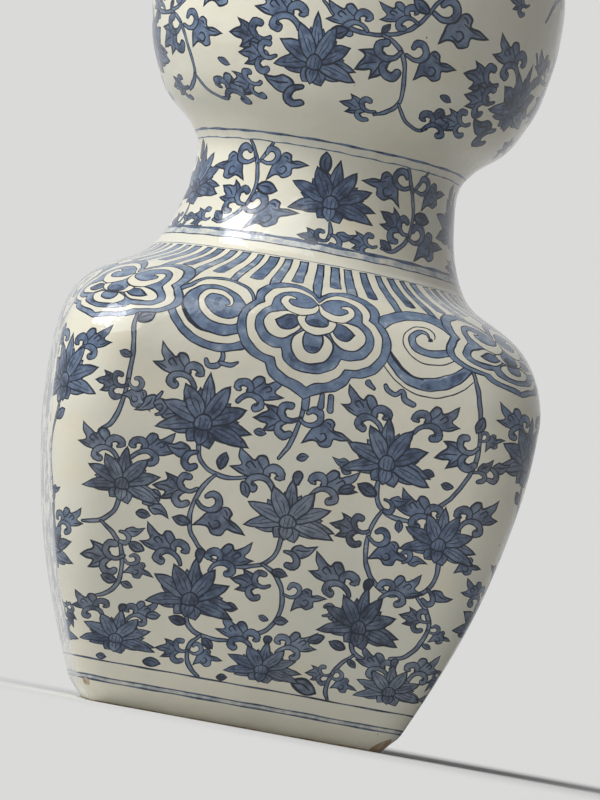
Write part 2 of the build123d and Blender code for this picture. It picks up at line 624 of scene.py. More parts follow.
def cut_sheet(painting: Painting, window: Window, grid: float) -> Sheet:
    """Triangulate a window so that every painted outline runs along edges.

    Args:
        painting: The shapes.
        window: What to cut out.
        grid: Spacing of the points in between.

    Returns:
        The sheet.
    """
    pace = painting.pace
    left, right, low, high = window.left * pace, window.right * pace, window.low, window.high
    xs = np.linspace(left, right, max(2, round((right - left) / grid)) + 1)
    ys = np.linspace(low, high, max(2, round((high - low) / grid)) + 1)
    verts: list[Point] = [(left, low), (right, low), (right, high), (left, high)]
    edges: list[tuple[int, int]] = [(0, 1), (1, 2), (2, 3), (3, 0)]
    kept: list[Shape] = []
    for shape in painting.shapes:
        small, large = shape.reach
        if large[0] < left or small[0] > right or large[1] < low or small[1] > high:
            continue
        kept.append(shape)
        start, count = len(verts), len(shape.points)
        verts += [tuple(p) for p in shape.points.tolist()]
        edges += [(start + i, start + (i + 1) % count) for i in range(count)]
    verts += [(x, y) for x in xs for y in ys]
    result = delaunay_2d_cdt([Vector(v) for v in verts], edges, [], 0, SNAP, False)
    points = np.array([tuple(v) for v in result[0]], float)
    faces = np.array(result[2], int)
    for axis, value in ((0, left), (0, right), (1, low), (1, high)):
        points[np.abs(points[:, axis] - value) < SNAP, axis] = value
    middle = points[faces].mean(axis=1)
    inner = (middle[:, 0] > left) & (middle[:, 0] < right) & (middle[:, 1] > low) & (middle[:, 1] < high)
    faces = faces[inner]
    paint = painted_rows(kept, middle[inner])
    used, back = np.unique(faces, return_inverse=True)
    points, faces = points[used], back.reshape(faces.shape)
    if window.is_ring:
        match_seam(points, left, right)
    return Sheet(points, faces, paint)


def painted_rows(shapes: Iterable[Shape], middle: Array) -> Array:
    """Find the paint of triangles: that of the last shape which covers them.

    Args:
        shapes: The shapes, in the order of the brush.
        middle: The triangles' middles.

    Returns:
        Each triangle's row of paint.
    """
    order = np.argsort(middle[:, 0])
    across = middle[order, 0]
    paint = np.tile(GROUND.row, (len(middle), 1))
    for shape in shapes:
        small, large = shape.reach
        first, last = np.searchsorted(across, (small[0], large[0]))
        near = order[first:last]
        near = near[(middle[near, 1] >= small[1]) & (middle[near, 1] <= large[1])]
        if len(near):
            paint[near[inside_shape(middle[near], shape.points)]] = shape.tone.row
    return paint


def match_seam(points: Array, left: float, right: float) -> None:
    """Bring the points of a ring's two ends to the same heights, so that they meet at the back.

    Args:
        points: The sheet's points, which it moves.
        left: Where the one end lies.
        right: Where the other end lies.
    """
    ends = [np.where(points[:, 0] == value)[0] for value in (left, right)]
    first, second = (end[np.argsort(points[end, 1])] for end in ends)
    if len(first) == len(second):
        points[second, 1] = points[first, 1]
    else:
        LOG.warning("the back seam has %d points at one end and %d at the other", len(first), len(second))


class Region(Enum):
    """Where a part of a section lies on its flat map: how far up it begins and how much it takes."""

    OUTSIDE = (0.0, 0.8)
    LINING = (0.81, 0.16)
    MITRE = (0.98, 0.02)


# Points of a piece that are nearer than this, in millimetres, become one
SAME_POINT = 0.004


def face_normals(corners: Array) -> Array:
    """Return the normals of triangles, given their corners, as long as twice their area."""
    return np.cross(corners[:, 1] - corners[:, 0], corners[:, 2] - corners[:, 0])


class MeshParts:
    """Collects triangles and makes one piece of them."""

    def __init__(self) -> None:
        """Begin with nothing."""
        self.verts: list[Array] = []
        self.faces: list[Array] = []
        self.paint: list[Array] = []
        self.normals: list[Array] = []
        self.flat: list[Array] = []
        self.count = 0

    def add(
        self, verts: Array, faces: Array, paint: Array, normals: Array | None, flat: Array, region: Region
    ) -> None:
        """Add triangles.

        Args:
            verts: Points in millimetres.
            faces: Triangles of indexes into verts.
            paint: Each triangle's paint.
            normals: Unit normals of the points, or None where the faces are flat.
            flat: The points on the flat map, from 0 to 1 within their region.
            region: That region.
        """
        if normals is None:
            loops = np.repeat(unit_rows(face_normals(verts[faces])), 3, axis=0)
        else:
            loops = normals[faces].reshape(-1, 3)
        start, share = region.value
        laid = flat[faces].reshape(-1, 2) * (1.0, share) + (0.0, start)
        self.verts.append(verts)
        self.faces.append(faces + self.count)
        self.paint.append(np.repeat(paint, 3, axis=0))
        self.normals.append(loops)
        self.flat.append(laid)
        self.count += len(verts)

    def make(self, name: str) -> bpy.types.Object:
        """Make the piece.

        Args:
            name: Its name.

        Returns:
            The new object, at the origin, with its place in its mesh.
        """
        verts = np.concatenate(self.verts)
        faces = np.concatenate(self.faces)
        key = np.round(verts / SAME_POINT).astype(np.int64)
        _, first, back = np.unique(key, axis=0, return_index=True, return_inverse=True)
        faces = back.reshape(-1)[faces]
        # Triangles whose corners have merged are left out, and so are any two on the same corners
        corners = np.sort(faces, axis=1)
        whole = (corners[:, 0] != corners[:, 1]) & (corners[:, 1] != corners[:, 2])
        _, same, times = np.unique(corners, axis=0, return_inverse=True, return_counts=True)
        whole &= times[same.reshape(-1)] == 1
        loops = np.repeat(whole, 3)
        faces = faces[whole]
        mesh = bpy.data.meshes.new(name)
        mesh.from_pydata((verts[first] * MM).tolist(), [], faces.tolist())
        mesh.polygons.foreach_set("use_smooth", np.ones(len(faces), bool))
        paint = np.concatenate(self.paint)[loops]
        layer = mesh.color_attributes.new("Paint", "FLOAT_COLOR", "CORNER")
        layer.data.foreach_set("color", np.c_[paint, np.ones(len(paint))].astype(np.float32).ravel())
        chart = mesh.uv_layers.new(name="OFBake")
        chart.data.foreach_set("uv", np.concatenate(self.flat)[loops].astype(np.float32).ravel())
        mesh.normals_split_custom_set(np.concatenate(self.normals)[loops].tolist())
        piece = bpy.data.objects.new(name, mesh)
        bpy.context.collection.objects.link(piece)
        return piece


# Points of a lining's level in each quarter turn, and at least
LINING_POINTS = 24
LINING_LEAST = 12
# How far inside a band of the lining its normals are taken, in millimetres
INSIDE_BAND = 0.06
# A height that still counts as the ground, in millimetres
ON_GROUND = 0.01
# Millimetres that stand for the whole width of the flat map on a mitred side
MITRE_MAP = 400.0


@dataclass(frozen=True)
class Shell:
    """A section of the vase as a closed solid: a painted outside, a plain lining and its seams."""

    name: str
    painting: Painting
    window: Window
    lining: Surface

    def build(self, grid: float) -> bpy.types.Object:
        """Build the solid.

        Args:
            grid: Spacing of the points between the painted outlines.

        Returns:
            The new object.
        """
        painting, window = self.painting, self.window
        sheet = cut_sheet(painting, window, grid)
        parts = MeshParts()
        share, up = sheet.points[:, 0] / painting.pace, sheet.points[:, 1]
        skin = painting.surface
        flat = np.stack([self.across(share), (up - window.low) / (window.high - window.low)], axis=1)
        verts, normals = skin.place(share, up), skin.normal(share, up)
        parts.add(verts, sheet.faces, sheet.paint, normals, flat, Region.OUTSIDE)
        self.line(parts, sheet)
        if not window.is_ring:
            self.close_side(parts, sheet, window.left)
            self.close_side(parts, sheet, window.right)
        return parts.make(self.name)

    def across(self, share: Array) -> Array:
        """Return shares of a quarter turn as shares of the section's width."""
        return (share - self.window.left) / (self.window.right - self.window.left)

    def border(self, sheet: Sheet, up: float) -> Array:
        """Return the shares of a quarter turn at which the sheet's points meet a level border."""
        across = sheet.points[sheet.points[:, 1] == up, 0]
        return np.sort(across) / self.painting.pace

    def line(self, parts: MeshParts, sheet: Sheet) -> None:
        """Add the lining and the seams, whose first and last rows are the outside's own borders.

        Args:
            parts: Where to add it.
            sheet: The outside's flat sheet.
        """
        window = self.window
        count = max(LINING_LEAST, round((window.right - window.left) * LINING_POINTS))
        even = np.linspace(window.left, window.right, count + 1)
        rows = self.lining.length
        shares = [self.border(sheet, window.high)] + [even] * (len(rows) - 2)
        shares.append(self.border(sheet, window.low))
        for row in range(len(rows) - 1):
            upper, lower, start, end = shares[row], shares[row + 1], rows[row], rows[row + 1]
            share = np.concatenate([upper, lower])
            along = np.concatenate([np.full(len(upper), start), np.full(len(lower), end)])
            faces = self.lace(upper, lower)
            inner_start = start + INSIDE_BAND
            inner_end = max(end - INSIDE_BAND, inner_start)
            normals = self.lining.normal(share, np.clip(along, inner_start, inner_end))
            flat = np.stack([self.across(share), along / rows[-1]], axis=1)
            tone = CLAY if self.on_ground(start, end) else GROUND
            plain = np.tile(tone.row, (len(faces), 1))
            parts.add(self.lining.place(share, along), faces, plain, normals, flat, Region.LINING)

    def on_ground(self, start: float, end: float) -> bool:
        """Tell whether a band of the lining is the rim that stands on the ground."""
        return all(float(self.lining.at(np.array(v))[0]) < ON_GROUND for v in (start, end))

    @staticmethod
    def lace(upper: Array, lower: Array) -> Array:
        """Triangulate the band between two rows of points that may differ in number.

        Args:
            upper: The upper row's places across.
            lower: The lower row's places across.

        Returns:
            Triangles of indexes, the upper row's first.
        """
        faces: list[tuple[int, int, int]] = []
        count = len(upper)
        i = j = 0
        while i < count - 1 or j < len(lower) - 1:
            if j == len(lower) - 1 or (i < count - 1 and upper[i + 1] <= lower[j + 1]):
                faces.append((i, i + 1, count + j))
                i += 1
            else:
                faces.append((i, count + j + 1, count + j))
                j += 1
        return np.array(faces, int)

    def close_side(self, parts: MeshParts, sheet: Sheet, share: float) -> None:
        """Add the flat face of a mitred side.

        Args:
            parts: Where to add it.
            sheet: The outside's flat sheet.
            share: Quarter turns at which the side lies.
        """
        chain = np.sort(sheet.points[sheet.points[:, 0] == share * self.painting.pace, 1])
        outer = self.painting.surface.place(np.full(len(chain), share), chain)
        inner = self.lining.place(np.full(len(self.lining.length), share), self.lining.length)[1:-1]
        ring = np.concatenate([outer, inner])
        flat = np.stack([np.hypot(ring[:, 0], ring[:, 1]), ring[:, 2]], axis=1)
        faces = np.array(tessellate_polygon([[Vector((a, b, 0.0)) for a, b in flat]]), int)
        angle = share * math.pi / 2
        outward = np.array((math.cos(angle), math.sin(angle), 0.0))
        if share == self.window.left:
            outward = -outward
        wrong = face_normals(ring[faces]) @ outward < 0
        faces[wrong] = faces[wrong][:, ::-1]
        clay = np.tile(CLAY.row, (len(faces), 1))
        parts.add(ring, faces, clay, None, flat / MITRE_MAP, Region.MITRE)


# The brush


# Length of a drawn line's short straight steps, in millimetres, and that of a thin dark line
STEP = 0.9
THIN_STEP = 1.6


def spans(points: Array, step: float) -> list[Array]:
    """Draw the smooth line between each two of a row of points, but its first and last.

    Args:
        points: The points, with any further values.
        step: Length of its straight steps.

    Returns:
        The points between each two, with the first of the two.
    """
    runs = []
    for before, start, end, after in zip(points, points[1:], points[2:], points[3:]):
        count = max(2, round(math.dist(start[:2], end[:2]) / step))
        t = (np.arange(count) / count)[:, None]
        bend = (2 * before - 5 * start + 4 * end - after) * t**2
        bend += (3 * start - before - 3 * end + after) * t**3
        runs.append(start + 0.5 * ((end - before) * t + bend))
    return runs


def flow(marks: Marks, step: float = STEP) -> Array:
    """Draw a smooth open line through marks.

    Args:
        marks: Points across and up; further values, such as a width, flow along with them.
        step: Length of its straight steps.

    Returns:
        The points of the line, with all their values.
    """
    points = np.array(marks, float)
    padded = np.concatenate([[2 * points[0] - points[1]], points, [2 * points[-1] - points[-2]]])
    return np.concatenate(spans(padded, step) + [points[-1:]])


def loop(marks: Marks, step: float = STEP) -> Array:
    """Draw a smooth closed outline.

    Args:
        marks: Points across and up; one with a third value is a corner.
        step: Length of its straight steps.

    Returns:
        The outline's points, counter-clockwise.
    """
    corners = [i for i, mark in enumerate(marks) if len(mark) > 2]
    flat = [tuple(mark[:2]) for mark in marks]
    if corners:
        first = corners[0]
        turned = flat[first:] + flat[: first + 1]
        ends = [i - first for i in corners] + [len(flat)]
        points = np.concatenate([flow(turned[a : b + 1], step)[:-1] for a, b in zip(ends, ends[1:])])
    else:
        points = np.concatenate(spans(np.array(flat[-1:] + flat + flat[:2], float), step))
    x, y = points.T
    area = np.sum(x * np.roll(y, -1) - np.roll(x, -1) * y)
    return points if area > 0 else points[::-1]


# Share by which a wash strays from its outline, and the waves across and up in which it does
STRAY = 0.22
STRAY_WAVES = (0.4, 0.3)
# Half width, in millimetres, up to which a stroke's end is drawn with one step instead of four
THIN_HALF = 0.6


def inset(points: Array, depth: float) -> Array:
    """Draw an outline further in, as unevenly as a brush would.

    Args:
        points: The outline, counter-clockwise.
        depth: How far in.

    Returns:
        As many points, further in.
    """
    ahead = unit_rows(np.roll(points, -1, axis=0) - points)
    left = np.stack([-ahead[:, 1], ahead[:, 0]], axis=1)
    both = left + np.roll(left, 1, axis=0)
    both /= np.maximum((both**2).sum(axis=1, keepdims=True) / 2, 0.25)
    across, up = points.T * np.array(STRAY_WAVES)[:, None]
    uneven = 1 + STRAY * np.sin(across + 1.7 * np.cos(up))
    return points + both * (depth * uneven)[:, None]


def ribbon(path: Array, thinner: float = 0.0) -> Array:
    """Return the outline of a brush stroke with round ends.

    Args:
        path: Points across and up, with the stroke's width.
        thinner: How much narrower than that it is drawn.

    Returns:
        A counter-clockwise outline.
    """
    middle, half = path[:, :2], np.maximum(path[:, 2] - thinner, 0.05) / 2
    run = unit_rows(np.gradient(middle, axis=0))
    side = np.stack([-run[:, 1], run[:, 0]], axis=1)
    caps = []
    for at, first in ((-1, -60), (0, 120)):
        angles = np.radians(np.arange(first, first + 121, 30 if half[at] > THIN_HALF else 120))[:, None]
        caps.append(middle[at] + half[at] * (np.cos(angles) * run[at] + np.sin(angles) * side[at]))
    right, left = middle - side * half[:, None], middle + side * half[:, None]
    return np.concatenate([right, caps[0], left[::-1], caps[1]])


# How much cobalt a dark outline carries, and half its width in millimetres
LINE = 1.05
LINE_DEPTH = 0.36
# How far the hand strays across and up in its slow drift and its quick tremble, in millimetres
DRIFT = (0.35, 0.3)
TREMBLE = 0.12
# Least and most by which a brush's load varies by accident
LOAD_SLIP = (0.88, 1.12)
# How much narrower a stroke's wash is than its outline, for each half width of a line
WASH_GAP = 3.2


@dataclass(frozen=True)
class Brush:
    """Draws on a painting in local millimetres, which may be moved, turned, scaled and mirrored.

    Its load is the strength of its washes. Brushes that come from one another share their accidents.
    """

    painting: Painting
    centre: float
    rng: np.random.Generator
    basis: Array
    origin: Array
    load: float = 1.0
    faded: float = 0.0

    @classmethod
    def take(cls, painting: Painting, centre: float, seed: int) -> Brush:
        """Take up a brush at a centre line, with a seed for its accidents."""
        return cls(painting, centre, np.random.default_rng(seed), np.eye(2), np.zeros(2))

    def moved(self, x: float, y: float, turn: float = 0.0, scale: Point = (1.0, 1.0)) -> Brush:
        """Move, turn and scale its local frame.

        Args:
            x: Place across.
            y: Place up.
            turn: Degrees, counter-clockwise.
            scale: Scale across and up; a negative one mirrors.

        Returns:
            The moved brush.
        """
        angle = math.radians(turn)
        cos, sin = math.cos(angle), math.sin(angle)
        basis = self.basis @ np.array([[cos, -sin], [sin, cos]]) @ np.diag(scale)
        return replace(self, basis=basis, origin=self.basis @ np.array((x, y)) + self.origin)

    def loaded(self, load: float, faded: float | None = None) -> Brush:
        """Return the brush with another load, and painting as faded as before or as told."""
        return replace(self, load=load, faded=self.faded if faded is None else faded)

    def varied(self) -> Brush:
        """Return the brush with a small accident to its load."""
        return self.loaded(self.load * float(self.rng.uniform(*LOAD_SLIP)))

    def fill(self, points: Array, tone: Tone) -> None:
        """Fill an outline with paint.

        Args:
            points: The outline in the brush's own frame, counter-clockwise.
            tone: The paint.
        """
        placed = points @ self.basis.T + self.origin
        if np.linalg.det(self.basis) < 0:
            placed = placed[::-1]
        x, y = placed.T
        sway = DRIFT[0] * np.sin(0.17 * y + 0.11 * x + self.centre) + TREMBLE * np.sin(0.9 * x - 0.5 * y)
        rise = DRIFT[1] * np.cos(0.13 * x - 0.09 * y + 2 * self.centre) + TREMBLE * np.sin(0.8 * y + 0.6 * x)
        self.painting.add(np.stack([x + sway, y + rise], axis=1), tone, self.centre)

    def wash_tone(self, wash: float) -> Tone:
        """Return the tone of a wash from this brush."""
        return Tone(wash * self.load, self.faded)

    def line_tone(self) -> Tone:
        """Return the tone of an outline from this brush."""
        return Tone(LINE * (1 - 0.2 * self.faded), self.faded * 0.5)

    def shape(self, marks: Marks, wash: float, depth: float = LINE_DEPTH) -> None:
        """Outline a closed shape and wash it.

        Args:
            marks: The shape, as loop takes it.
            wash: Strength of the wash, or 0 for white.
            depth: Half the width of its outline.
        """
        outline = loop(marks)
        self.fill(outline, self.line_tone())
        self.fill(inset(outline, depth * 2), self.wash_tone(wash))

    def stroke(self, marks: Marks, wash: float, depth: float = LINE_DEPTH) -> None:
        """Outline a stroke and wash it.

        Args:
            marks: Points across and up, with the stroke's width.
            wash: Strength of the wash, or 0 for white.
            depth: Half the width of its outline.
        """
        path = flow(marks)
        self.fill(ribbon(path), self.line_tone())
        self.fill(ribbon(path, WASH_GAP * depth), self.wash_tone(wash))

    def line(self, marks: Marks) -> None:
        """Draw a plain dark line."""
        self.fill(ribbon(flow(marks, THIN_STEP)), self.line_tone())

    def patch(self, marks: Marks, wash: float, depth: float = 0.0) -> None:
        """Lay a wash without an outline, drawn in by a depth."""
        self.fill(inset(loop(marks), depth), self.wash_tone(wash))

    def spot(self, marks: Marks) -> None:
        """Lay a dark spot."""
        self.fill(loop(marks), self.line_tone())


# Motifs of the lotus scroll, in millimetres at full size


@dataclass(frozen=True)
class Lotus:
    """A lotus flower, seen from the side, round its seed pod.

    A petal has its turn in degrees, its length, its width, and the share of its length by which its tip
    bends aside.
    """

    back_petals: Marks = (
        (72, 14, 6.4, 0.1), (-67, 14.5, 6.4, 0.1), (44, 14, 6.8, 0.05), (-38, 14.2, 6.8, 0.05),
        (15, 15, 6.4, 0), (-9, 14.5, 6.4, 0),
    )
    petals: Marks = (
        (113, 14.5, 6, -0.04), (-113, 15, 6, -0.04), (150, 9.5, 7.5, 0), (-152, 10.5, 8, 0), (180, 9, 6.5, 0),
        (92, 19.5, 6.4, 0.2), (-80, 20, 6, 0.22), (-98, 21, 6.8, 0.12), (60, 19.5, 7, 0.14),
        (-54, 19, 7.2, 0.1), (3, 21, 6.2, 0), (30, 18.5, 7.4, 0.05), (-24, 19, 7.2, 0.05),
    )
    bud: Marks = ((-0.8, 18), (-2.4, 21), (-1.8, 24), (0.8, 25), (2.4, 23), (1.6, 20), (0.8, 18))
    pod: Marks = (
        (-3.5, -1.8), (-3.7, 1.2), (-2, 3.6), (0, 4.2), (2, 3.6), (3.7, 1.2), (3.5, -1.8), (0, -3),
    )
    pod_lines: tuple[float, ...] = (-1.4, 0.4, 2.0)
    wash: float = 0.66
    bud_wash: float = 0.78
    tilt: float = 4.0

    def draw(self, brush: Brush, has_bud: bool) -> None:
        """Draw it.

        Args:
            brush: The brush, with its frame at the pod.
            has_bud: Whether a bud crowns the middle petal.
        """
        if has_bud:
            brush.shape(self.bud, self.bud_wash)
        for turn, length, width, curl in self.back_petals + self.petals:
            tilt = float(brush.rng.uniform(-self.tilt, self.tilt))
            self.petal(brush.moved(0, 0, turn + tilt).varied(), length, width, -curl if turn > 0 else curl)
        brush.shape(self.pod, self.wash)
        for x in self.pod_lines:
            brush.line(((x, -1.8, 0.35), (x * 1.1, 2.4, 0.3)))

    def petal(self, brush: Brush, length: float, width: float, curl: float) -> None:
        """Draw a petal with its two veins.

        Args:
            brush: The brush, turned so that the petal points up from the pod.
            length: How long it is.
            width: How wide it is.
            curl: By what share of its length its tip bends aside.
        """
        sides = ((0.15, 0.0), (0.42, 0.24), (0.5, 0.5), (0.34, 0.78))
        bend = [(curl * length * up**2, length * up) for _, up in sides]
        left = [(x - width * out, y) for (out, _), (x, y) in zip(sides, bend)]
        right = [(x + width * out, y) for (out, _), (x, y) in zip(sides, bend)]
        brush.shape(left + [(curl * length, length, 1)] + right[::-1], self.wash)
        for side, top in ((-0.12, 0.82), (0.16, 0.6)):
            foot = (side * width * 0.5, length * 0.25, 0.35)
            middle = (side * width + curl * length * 0.2, length * 0.5, 0.4)
            brush.line((foot, middle, (side * width * 0.5 + curl * length * top**2, length * top, 0.2)))


class Way(Enum):
    """Ways to use the brush."""

    SHAPE = "outlined and washed"
    STROKE = "a stroke, outlined and washed"
    LINE = "a plain dark line"
    PATCH = "a wash without an outline"
    SPOT = "a dark spot"


@dataclass(frozen=True)
class Touch:
    """One use of the brush: its marks, and its own wash where it differs from the motif's."""

    way: Way
    marks: Marks
    wash: float | None = None
    depth: float = LINE_DEPTH


@dataclass(frozen=True)
class Motif:
    """A painted form: the touches of the brush in their order, in millimetres at full size."""

    wash: float
    touches: tuple[Touch, ...]

    def draw(self, brush: Brush) -> None:
        """Draw it.

        Args:
            brush: The brush, with its frame where the motif stands.
        """
        for touch in self.touches:
            wash = self.wash if touch.wash is None else touch.wash
            if touch.way is Way.SHAPE:
                brush.shape(touch.marks, wash, touch.depth)
            elif touch.way is Way.STROKE:
                brush.stroke(touch.marks, wash, touch.depth)
            elif touch.way is Way.LINE:
                brush.line(touch.marks)
            elif touch.way is Way.PATCH:
                brush.patch(touch.marks, wash, touch.depth)
            else:
                brush.spot(touch.marks)


class Plant(Enum):
    """Leaves of the scroll, each drawn from its stem's foot."""

    # A curled leaf that rises from beside a flower, to the right
    HORN = Motif(0.6, (
        Touch(Way.SHAPE, (
            (2.6, 4.6), (3.4, 8), (4.4, 11), (6.4, 13), (9, 12.6), (10, 10.6), (12.6, 12), (17, 15.2, 1),
            (16.4, 10.8), (14.8, 7.8), (19, 6.4, 1), (15, 4.2), (11, 3.2), (6.4, 2.8),
        )),
        Touch(Way.LINE, ((9.4, 11.8, 0.4), (8.2, 9.4, 0.7), (6.0, 7.2, 0.5))),
        Touch(Way.LINE, ((9.0, 7.4, 0.5), (11.4, 9.6, 0.9), (12.8, 8.0, 0.7), (11.0, 6.8, 0.5))),
        Touch(Way.LINE, ((12.6, 5.0, 0.3), (14.8, 5.8, 0.6), (16.6, 6.2, 0.2))),
        Touch(Way.STROKE, (
            (4, 4, 2.4), (4.4, 6.8, 3.2), (2.4, 8.6, 3.8), (-0.6, 7.8, 3.6), (-1.6, 5.8, 3), (0.2, 5.2, 1.8),
        )),
        Touch(Way.LINE, ((2.8, 6.8, 0.4), (1.0, 7.0, 0.8), (0.2, 5.8, 0.5))),
        Touch(Way.STROKE, (
            (0, 0, 2.2), (1.5, 2.2, 2.4), (3.8, 3.8, 2.6), (6.6, 4.2, 3), (9.2, 3, 3.6), (10, 0.6, 4),
            (8, -0.6, 3.8),
        )),
        Touch(Way.LINE, ((8.8, 2.4, 0.4), (8.8, 0.8, 0.8), (7.6, 0.2, 0.6))),
    ))
    # A three-pointed leaf between two curls, which grows to the left
    FORK = Motif(0.64, (
        Touch(Way.SHAPE, (
            (-4.6, 0.4), (-6.4, 3.6), (-9.6, 5.2), (-14.4, 6.2, 1), (-12.8, 3.4), (-15, 2.2), (-19, -0.2, 1),
            (-15.4, -2), (-13, -2.6), (-15.2, -5.6, 1), (-10.8, -5.6), (-6.4, -4),
        )),
        Touch(Way.LINE, ((-17.4, -0.2, 0.2), (-13.6, 0.6, 0.7), (-9.4, -0.6, 0.5))),
        Touch(Way.LINE, ((-13.2, 5.2, 0.2), (-10.6, 3.4, 0.6), (-8.4, 1.2, 0.4))),
        Touch(Way.LINE, ((-13.8, -4.8, 0.2), (-11.4, -3.6, 0.6), (-9.0, -2.2, 0.4))),
        Touch(Way.STROKE, (
            (-4.6, -1, 2.2), (-7.8, -2.6, 3), (-8.2, -5.2, 3.4), (-5.8, -7.4, 3.6), (-3.2, -6.4, 3.4),
        )),
        Touch(Way.LINE, ((-6.9, -3.6, 0.4), (-5.8, -5.4, 0.8), (-4.4, -5.6, 0.6))),
        Touch(Way.STROKE, (
            (0.4, 0.4, 2), (-2.6, -0.9, 2.4), (-5.8, 0, 2.9), (-7.4, 2.8, 3.3), (-6.2, 5.6, 3.4),
            (-3.6, 5.4, 3.4),
        )),
        Touch(Way.LINE, ((-6.0, 2.2, 0.4), (-5.4, 4.0, 0.8), (-4.2, 4.2, 0.6))),
    ))
    # A long pointed leaf with a hook above and a lobe below, which grows to the right
    ARROW = Motif(0.6, (
        Touch(Way.SHAPE, (
            (5.6, -2.6), (8.8, -0.8), (10.4, 2.2), (13, 2.9), (15.3, 1.2), (15.2, -1.2), (18.8, -1.8),
            (23.8, -4.4, 1), (18.6, -5.4), (15.8, -5.6), (15.2, -8.6), (11.4, -9.8), (8, -8), (2.6, -10.2, 1),
            (4.2, -6),
        )),
        Touch(Way.LINE, (
            (8, -6, 0.5), (10.8, -7.6, 0.9), (12.8, -5.6, 0.9), (11.4, -3.8, 0.7), (9.6, -4.4, 0.5),
        )),
        Touch(Way.LINE, ((12.2, -1.2, 0.4), (16.0, -2.8, 0.7), (21.0, -4.0, 0.2))),
        Touch(Way.LINE, ((11.2, 1.2, 0.4), (12.8, 0.6, 0.7), (13.4, -0.6, 0.5))),
        Touch(Way.STROKE, (
            (0, 0, 2), (3, -1.6, 2.3), (6.4, -1.2, 2.8), (8.4, 1.2, 3.3), (7.6, 4.2, 3.6), (4.6, 5.2, 3.4),
            (2.8, 3.4, 2.4),
        )),
        Touch(Way.LINE, ((7.2, 1.4, 0.4), (6.4, 3.4, 0.8), (4.6, 3.8, 0.6))),
    ))
    # A small hooked twig with one long tip, which grows to the left
    TWIG = Motif(0.66, (
        Touch(Way.SHAPE, (
            (-2.2, 1.6), (-5.4, 3.6), (-8.2, 2.8), (-12.4, 3.8, 1), (-10, 0.4), (-6.6, -2), (-2.6, -1.6),
        )),
        Touch(Way.LINE, ((-9.8, 1.8, 0.2), (-6.8, 1.0, 0.7), (-4.2, 1.2, 0.4))),
        Touch(Way.STROKE, (
            (0, 0.2, 1.6), (-2.8, -0.4, 2.4), (-4.8, -2.8, 3), (-3.6, -5.2, 3.2), (-0.9, -4.8, 2.4),
        )),
    ))
    # A drop-shaped bud, which grows to the right
    BUD = Motif(0.72, (
        Touch(Way.SHAPE, (
            (0, -0.6), (0.6, 1), (3.2, 2.4), (6, 1.8), (8.2, -0.2, 1), (5.6, -2.2), (2.4, -2.2),
        )),
        Touch(Way.LINE, ((1.6, 0.2, 0.3), (4.0, 0.4, 0.6), (6.0, -0.2, 0.3))),
    ))


HORN, FORK, ARROW, TWIG, BUD = Plant
# Twigs and buds are drawn larger by this
SMALL_GROWTH = 1.15
# Share of its full width that a stem has at its ends
STEM_END_SHARE = 0.72
# Degrees by which a leaf and a flower may be turned by accident, either way
LEAF_SLIP = 4.0
FLOWER_SLIP = 3.0


@dataclass(frozen=True)
class Scroll:
    """A piece of lotus scroll: where its stems run and where its flowers and leaves grow.

    A stem is a list of points across and up. A leaf has its foot across and up, its turn and its size,
    which is negative where it is mirrored. A flower has its pod across and up, its size across and up,
    and whether a bud crowns it.
    """

    stems: tuple[tuple[Point, ...], ...] = ()
    leaves: tuple[tuple[Plant, float, float, float, float], ...] = ()
    flowers: tuple[tuple[float, float, float, float, bool], ...] = ()
    stem_width: float = 2.3
    stem_wash: float = 0.52
    leaf_growth: float = 1.03
    flower_growth: float = 1.1

    def within(self, reach: float) -> Scroll:
        """Keep what stays near its centre line.

        Args:
            reach: Millimetres to each side.

        Returns:
            The scroll without the rest.
        """
        return replace(
            self,
            stems=tuple(stem for stem in self.stems if max(abs(x) for x, _ in stem) < reach),
            leaves=tuple(leaf for leaf in self.leaves if abs(leaf[1]) < reach),
            flowers=tuple(flower for flower in self.flowers if abs(flower[0]) < reach),
        )

    def draw(self, brush: Brush) -> None:
        """Draw its stems, then its leaves, then its flowers.

        Args:
            brush: The brush, with its frame on the centre line at the foot of the section.
        """
        for stem in self.stems:
            last = len(stem) - 1
            widths = [self.stem_width * (STEM_END_SHARE if i in (0, last) else 1.0) for i in range(last + 1)]
            own = brush.varied()
            own.stroke([(x, y, width) for (x, y), width in zip(stem, widths)], self.stem_wash)
        for plant, x, y, turn, size in self.leaves:
            size *= self.leaf_growth * (SMALL_GROWTH if plant in (TWIG, BUD) else 1.0)
            slip = float(brush.rng.uniform(-LEAF_SLIP, LEAF_SLIP))
            plant.value.draw(brush.moved(x, y, turn + slip, (size, abs(size))).varied())
        for x, y, wide, tall, has_bud in self.flowers:
            size = (wide * self.flower_growth, tall * self.flower_growth)
            slip = float(brush.rng.uniform(-FLOWER_SLIP, FLOWER_SLIP))
            Lotus().draw(brush.moved(x, y, slip, size).varied(), has_bud)


